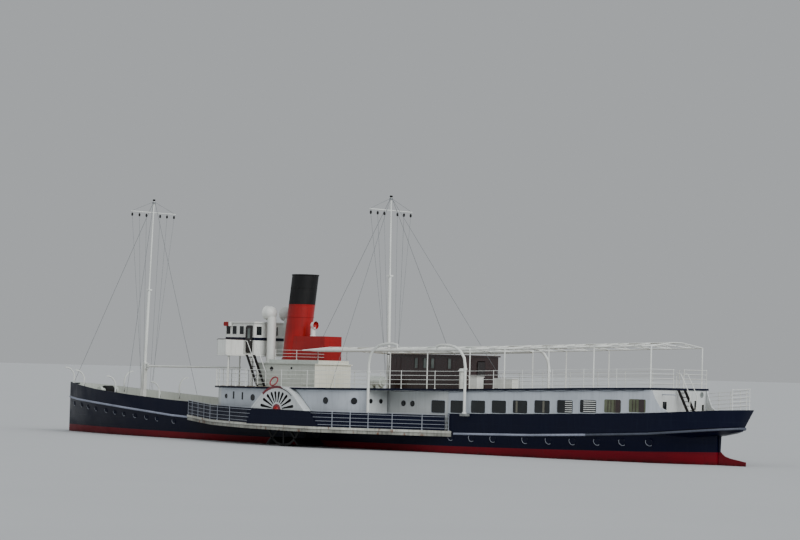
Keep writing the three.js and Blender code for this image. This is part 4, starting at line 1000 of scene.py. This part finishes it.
def house_portholes():
    """Ports of the houses on the main deck, and of the deckhouse."""
    tiny, small, middling, large, slits = [], [], [], [], []
    for hand, label in LABELS:
        fore, aft = f"side_house_fore_{label}", f"side_house_aft_{label}"
        small.append(on_side(fore, 7.42, 2.99, hand))
        small += [on_after_face(aft, hand * y, 2.99) for y in (4.31, 5.2)]
        small.append(on_side("deckhouse", 7.61, 4.8, hand))
        tiny.append(on_side("deckhouse", 5.78, 4.88, hand))
        middling += [on_side("midship_walls", x, 2.91, hand) for x in (-5.95, -6.7)]
        large += [on_side(node, x, z, hand) for node, x, z in (
            (fore, 4.58, 2.97), (aft, -1.9, 2.95), (aft, -3.95, 2.97),
        )]
        slits += [on_side(fore, x, z, hand) for x, z in ((6.57, 3.07), (5.65, 3.04))]
    made = [copies(porthole("port", radius, dark_glass, black_paint, 0.03), places, "ports")
            for radius, places in ((0.05, tiny), (0.12, small), (0.15, middling), (0.18, large))]
    slit = window("slit", 0.1, 0.44, 0.02, dark_glass, 0.015, 0.008, black_paint)
    fit(join([*made, copies(slit, slits, "slits")], "house_ports"), None, "black_paint")


def deckhouse_doors():
    """Flush steel doors in the deckhouse's sides, each with its raised coaming and two clips."""
    lines, clips = [], []
    for hand in SIDES:
        for fore, aft, low, high in ((6.05, 5.4, 4.2, 4.76), (4.85, 3.78, 3.8, 4.62)):
            y = on_side("deckhouse", (fore + aft) / 2, high, hand).translation.y / FULL + hand * 0.008
            ring = [(fore, low), (fore, high), (aft, high), (aft, low), (fore, low)]
            lines.append([at(x, y, z) for x, z in ring])
            clips += [on_side("deckhouse", fore - 0.09, z, hand) for z in (low + 0.12, high - 0.12)]
    clip = slab("clip", (-0.05, 0.003, -0.02), (0.05, 0.035, 0.02), 0.006)
    frames = rods("coamings", lines, 0.014, 2)
    fit(join([frames, copies(clip, clips, "clips")], "deckhouse_doors"), green_paint, "pale_green_paint")


def after_bulkhead():
    """A light, vents and a lamp on the bulkhead over the quarter deck, and the rail beside the ladder."""
    fittings = [
        copies(window("light", wide, high, 0.03, dark_glass, 0.02, 0.008),
               [on_after_face("saloon_walls", y, z)], "light")
        for wide, high, y, z in (
            (0.42, 0.5, 1.36, 3.28), (0.22, 0.55, -1.57, 3.33), (0.24, 0.38, -2.32, 3.19),
        )
    ]
    lamp = porthole("lamp", 0.12, grey_glass, iron_paint)
    fittings.append(copies(lamp, [on_after_face("saloon_walls", -2.2, 3.94)], "lamp"))
    rail = rods("rail", [[at(-24.12, 1.6, 3.92), at(-25.05, 1.6, 3.92), at(-25.1, 1.6, 3.86)]], 0.03, 2)
    fit(join([*fittings, coat(rail, rail_paint)], "after_bulkhead_fittings"), None, "black_paint")


# Paddle boxes

def fans():
    """Black backing behind each fan's slots as painted shade, the red boss, and a black rod under the after
    half of its arch as painted shadow.
    """
    for hand, label in LABELS:
        arch = [at(PADDLE_X + (FAN_WIDE + 0.02) * x, hand * 6.83, FAN_Z + FAN_HIGH * z)
                for x, z in arc(0, 180, 24)]
        # A black plate behind the slots: painted shade for the dark inside of the box
        fit(plate(f"fan_shade_backing_{label}", arch, at(0, -hand * 0.03, 0)), black_paint, "black_paint")
        profile = [(0, 0), (0.33, 0), (0.33, 0.025), (0.28, 0.05), (0.1, 0.06), (0, 0.06)]
        boss = turned(f"fan_boss_{label}", profile, 32)
        boss.data.transform(outboard(PADDLE_X, 6.945, FAN_Z, hand) @ SIDEWAYS)
        fit(boss, arch_paint, "red_paint")
        # A black rod under the after half of the arch: painted shadow beneath the arch's moulding
        line = [at(PADDLE_X + x, hand * 6.945, 1.72 + z) for x, z in arc(96, 132, 8, 1.93)]
        fit(rods(f"fan_shadow_line_{label}", [line], 0.022), black_paint, "black_paint")


# Funnel and cowls

FUNNEL_X = 7.12
FUNNEL_FOOT = 5.423
RAKE = (6.37 - FUNNEL_X) / (11.02 - FUNNEL_FOOT)  # metres forward for each metre up


def funnel():
    """Riveted casing with two bands, the black cap, and the steam pipe up its fore side."""
    red = turned("funnel_casing", [
        (0, 5.424), (0.91, 5.424), (0.91, 5.5), (0.87, 5.52), (0.87, 8.2), (0.9, 8.21), (0.9, 8.25),
        (0.87, 8.26), (0.87, 9.0), (0.885, 9.01), (0.885, 9.055), (0, 9.055),
    ], steps=64)
    black = turned("funnel_cap", [
        (0, 9.06), (0.87, 9.06), (0.87, 10.1), (0.88, 10.11), (0.88, 10.14), (0.87, 10.15), (0.87, 10.93),
        (0.9, 10.95), (0.9, 11.0), (0.88, 11.02), (0.8, 11.02), (0.8, 9.4), (0, 9.4),
    ], steps=64)
    # Each point slides aft by its height above the foot
    lean = moved(FUNNEL_X - RAKE * FUNNEL_FOOT, 0, 0)
    lean[0][2] = RAKE
    for piece, finish, slot, node in (
        (red, red_paint, "red_paint", "funnel"), (black, black_paint, "black_paint", "funnel_top"),
    ):
        piece.data.transform(lean)
        fit(piece, finish, slot, node)
    low, high = [at(FUNNEL_X + RAKE * rise + 0.98, 0, z) for rise, z in ((0.2, 5.6), (5.2, 10.55))]
    parts = [rods("steam_pipe", [[low, high]], 0.07, 3)]
    for z in (6.4, 7.8, 9.4):
        x = FUNNEL_X + RAKE * (z - 5.42)
        parts.append(slab("clip", (x + 0.84, -0.03, z), (x + 0.96, 0.03, z + 0.06)))
    fit(join(parts, "steam_pipe"), black_paint, "black_paint", "funnel")


def cowl(name, x, y, foot, mouth_z, radius, facing_x, node):
    """Ventilator: trunk, rounded head and flared mouth, white outside and red within."""
    back = [(radius * 1.55 * out, radius * (0.5 - 1.45 * reach)) for reach, out in arc(0, 90, 15)]
    mouth = [
        (1.56, 0.9), (1.62, 1.35), (1.66, 1.55), (1.62, 1.55), (1.5, 1.2), (1.35, 0.7), (0.9, 0.3), (0, 0.1),
    ]
    head = turned(name, [*back, *[(radius * out, radius * reach) for out, reach in mouth]], steps=32)
    coat(head, white_paint, red_paint)
    for face in head.data.polygons:
        within = face.center.z > -0.3 * radius * FULL and face.center.xy.length < radius * 1.6 * FULL
        face.material_index = 1 if within and face.normal.z > 0.05 else 0
    head.data.transform(moved(x, y, mouth_z) @ Matrix.Rotation(facing_x * math.pi / 2, 4, "Y"))
    trunk = turned("trunk", [
        (0, foot + 0.005), (radius * 1.25, foot + 0.005), (radius * 1.25, foot + 0.05), (radius, foot + 0.08),
        (radius, mouth_z - radius * 0.9), (0, mouth_z - radius * 0.9),
    ], steps=32)
    trunk.data.transform(moved(x, y, 0))
    fit(join([head, coat(trunk, white_paint)], name), None, "white_paint", node, body=node)


def cowls():
    for hand, label in LABELS:
        cowl(f"ventilator_{label}", 8.62, hand * 0.78, 5.2, 8.47, 0.29, 1, f"cowl_{label}")
    cowl("ventilator_casing", 5.25, 0.3, 6.98, 7.7, 0.16, -1, "casing_cowl")


# Bridge

def bridge():
    """Navy band, sidelights, screen capping and door glass."""
    band = slab("wheelhouse_band", (9.285, -1.715, 6.64), (12.015, 1.715, 6.83), 0.006)
    inner = slab("band_void", (9.299, -1.701, 6.5), (12.001, 1.701, 7.0), 0.001)
    gaps = [slab("door_gap", (9.44, hand * 1.5, 6.5), (10.06, hand * 1.9, 7.0), 0.001) for hand in SIDES]
    for cutter in (inner, *gaps):
        modify(band, "BOOLEAN", operation="DIFFERENCE", object=cutter, solver="EXACT")
        bpy.data.objects.remove(cutter)
    fit(band, navy_paint, "navy_paint")
    for (hand, label), board, lamp in zip(LABELS, (red_paint, lamp_green), (lamp_red, lamp_green)):
        box = slab("screen", (11.5, hand * 1.705, 7.56), (11.94, hand * 1.98, 7.84), 0.01)
        lens = turned("lens", [(0, 0), (0.07, 0), (0.08, 0.03), (0.08, 0.15), (0.07, 0.18), (0, 0.18)], 16)
        lens.data.transform(moved(11.98, hand * 1.86, 7.6))
        tail = slab("screen_end", (11.4, hand * 1.705, 7.56), (11.495, hand * 1.98, 7.84), 0.01)
        parts = [coat(box, board), coat(lens, lamp), coat(tail, white_paint)]
        fit(join(parts, f"sidelight_{label}"), None, "red_paint")
        door = window("pane", 0.3, 0.68, 0.02, grey_glass, 0.03, 0.02, door_wood)
        door.data.transform(outboard(9.775, 1.73, 7.1, hand))
        knob = turned("knob", [(0, 0), (0.02, 0), (0.02, 0.04), (0.035, 0.06), (0.02, 0.08), (0, 0.08)], 12)
        knob.data.transform(outboard(9.56, 1.731, 6.62, hand) @ SIDEWAYS)
        glass = join([door, coat(knob, white_paint)], f"door_glass_{label}")
        fit(glass, None, "varnished_wood", body=f"wheelhouse_door_{label}")
    port = [at(x, y, 6.655) for x, y in ((9.37, 2.6), (9.37, 4.16), (10.1, 4.16), (12.1, 2.4))]
    capping = rods("screen_capping", [[*port, *mirrored(port)[::-1]]], 0.035, 2)
    fit(capping, mahogany_wood, "varnished_wood")


def handrails():
    """Pipe handrails each side of the ladders."""
    lines = []
    for hand in SIDES:
        for out in (-0.36, 0.36):
            y = hand * 2.15 + out
            bends = ((8.02, 3.75), (8.02, 4.55), (9.1, 6.55), (9.3, 6.62), (9.3, 5.75))
            lines.append([at(x, y, z) for x, z in bends])
    for y in (-0.33, 0.33):
        bends = ((-25.12, 3.0), (-25.2, 3.85), (-24.5, 5.1), (-24.2, 5.2), (-24.2, 4.35))
        lines.append([at(x, y, z) for x, z in bends])
    fit(rods("ladder_handrails", lines, 0.024, 2), white_paint, "white_paint")


# Awning frame, as [x, half width] at each frame from forward aft

FRAMES = [
    [3.5, 3], [1.9, 3], [-0.7, 3], [-4.2, 3], [-7.3, 3], [-10.7, 2.95], [-13.4, 2.9], [-16.75, 2.85],
    [-20, 2.7], [-23.95, 2.45],
]
SIDE_BAR = 2.36  # above the deck
RIDGE_BAR = 2.61
RIDGE_HALF = 0.45


def awning():
    """Lattice between the frame's bars, and the furled white edge along its fore part."""
    lines = []
    for (x0, y0), (x1, y1) in zip(FRAMES, FRAMES[1:]):
        steps = max(2, round((x0 - x1) / 0.8))
        for hand in SIDES:
            zigzag = []
            for k in range(steps + 1):
                x = x0 + (x1 - x0) * k / steps
                y = y0 + (y1 - y0) * k / steps
                across, rise = (RIDGE_HALF, RIDGE_BAR) if k % 2 else (y, SIDE_BAR)
                zigzag.append(over_deck(x, hand * across, rise))
            middle = [over_deck(x, hand * (y + RIDGE_HALF) / 2, (SIDE_BAR + RIDGE_BAR) / 2)
                      for x, y in ((x0, y0), (x1, y1))]
            lines += [zigzag, middle]
    fit(rods("awning_lattice", lines, 0.026), white_paint, "white_paint")
    # The furled canvas runs to the sixth frame and is drawn to a point at its fore end
    edges = [[over_deck(x, hand * y, SIDE_BAR + 0.01) for x, y in FRAMES if -10.8 < x < 3] for hand in SIDES]
    parts = [rods("awning_edge", edges, 0.1, 4)]
    for hand in SIDES:
        tip = turned("tip", [(0, 0), (0.1, 0), (0.07, 0.7), (0.02, 1.25), (0, 1.28)], 16)
        place = Matrix.Translation(over_deck(1.9, hand * 3, SIDE_BAR + 0.01))
        tip.data.transform(place @ Matrix.Rotation(math.pi / 2, 4, "Y"))
        parts.append(tip)
    fit(join(parts, "awning_edge"), white_paint, "white_paint")


# Masts and rigging

def rigging():
    """Signal yards: blocks under each yard, halyards to the rail at the mast's foot, lifts and trucks."""
    profile = [(0, -0.12), (0.05, -0.1), (0.07, -0.04), (0.07, 0.04), (0.05, 0.1), (0, 0.12)]
    block = turned("block", profile, 10)
    places, lines, trucks = [], [], []
    # x at the yard, rake of the mast, yard height, half length, truck height, foot height, foot x
    for x, rake, yard_z, half, truck_z, pin_z, pin_x in (
        (21.46, -0.041, 15.42, 2.06, 16.3, 3.1, 21.9), (-1.13, 0.012, 15.06, 1.98, 15.97, 4.5, -1.26),
    ):
        for hand in SIDES:
            for reach, foot in ((0.94, 0.42), (0.62, 0.56), (0.31, 0.3)):
                y = hand * half * reach
                places.append(moved(x, y, yard_z - 0.22))
                lines.append([at(x, y, yard_z - 0.32), at(pin_x - 0.25, hand * foot, pin_z)])
                lines.append([at(x, y, yard_z - 0.02), at(x, y, yard_z - 0.14)])
            lines.append([at(x, hand * half * 0.96, yard_z + 0.03), at(x + rake * 0.8, 0, truck_z - 0.12)])
        trucks.append(moved(x + rake * (truck_z - yard_z), 0, truck_z))
    fit(copies(block, places, "halyard_blocks"), black_paint, "black_paint")
    fit(rods("halyards", lines, 0.009), wire, "grey_paint")
    profile = [(0, -0.1), (0.06, -0.08), (0.1, -0.03), (0.1, 0.02), (0.05, 0.055), (0, 0.06)]
    truck = turned("truck", profile, 16)
    fit(copies(truck, trucks, "mast_trucks"), black_paint, "black_paint")


# Deck fittings

def lifebuoys():
    """A thin red ring on the crown of each paddle box, leaning in."""
    ring = turned("lifebuoy", [(0.3 + x, z) for x, z in arc(0, 360, 12, 0.045)], steps=40)
    place = moved(2.35, 6.6, 4.03) @ Matrix.Rotation(math.radians(118), 4, "X")
    fit(copies(ring, [Matrix.Scale(hand, 4, (0, 1, 0)) @ place for hand in SIDES], "lifebuoys"),
        buoy_red, "red_paint")


def deck_edge_swags():
    """Dark lacing that sags in short swags under the promenade deck's edge."""
    lines = []
    for hand in SIDES:
        for k in range(11):
            swag = []
            for step in range(7):
                x = -6.2 - 1.6 * (k + step / 6)
                sag = 0.05 * (1 - (step / 3 - 1) ** 2)
                swag.append(over_deck(x, hand * (along(PROM_HALF, x) - 0.03), -0.14 - sag))
            lines.append(swag)
    fit(rods("deck_edge_lacing", lines, 0.014), navy_paint, "navy_paint")


studio()
camera()
finish_nodes()
hull_ports()
beltings()
rails()
sponson_screens()
saloon_lights()
wheelhouse_lights()
wood_house_lights()
house_portholes()
deckhouse_doors()
after_bulkhead()
fans()
funnel()
cowls()
bridge()
handrails()
awning()
rigging()
lifebuoys()
deck_edge_swags()
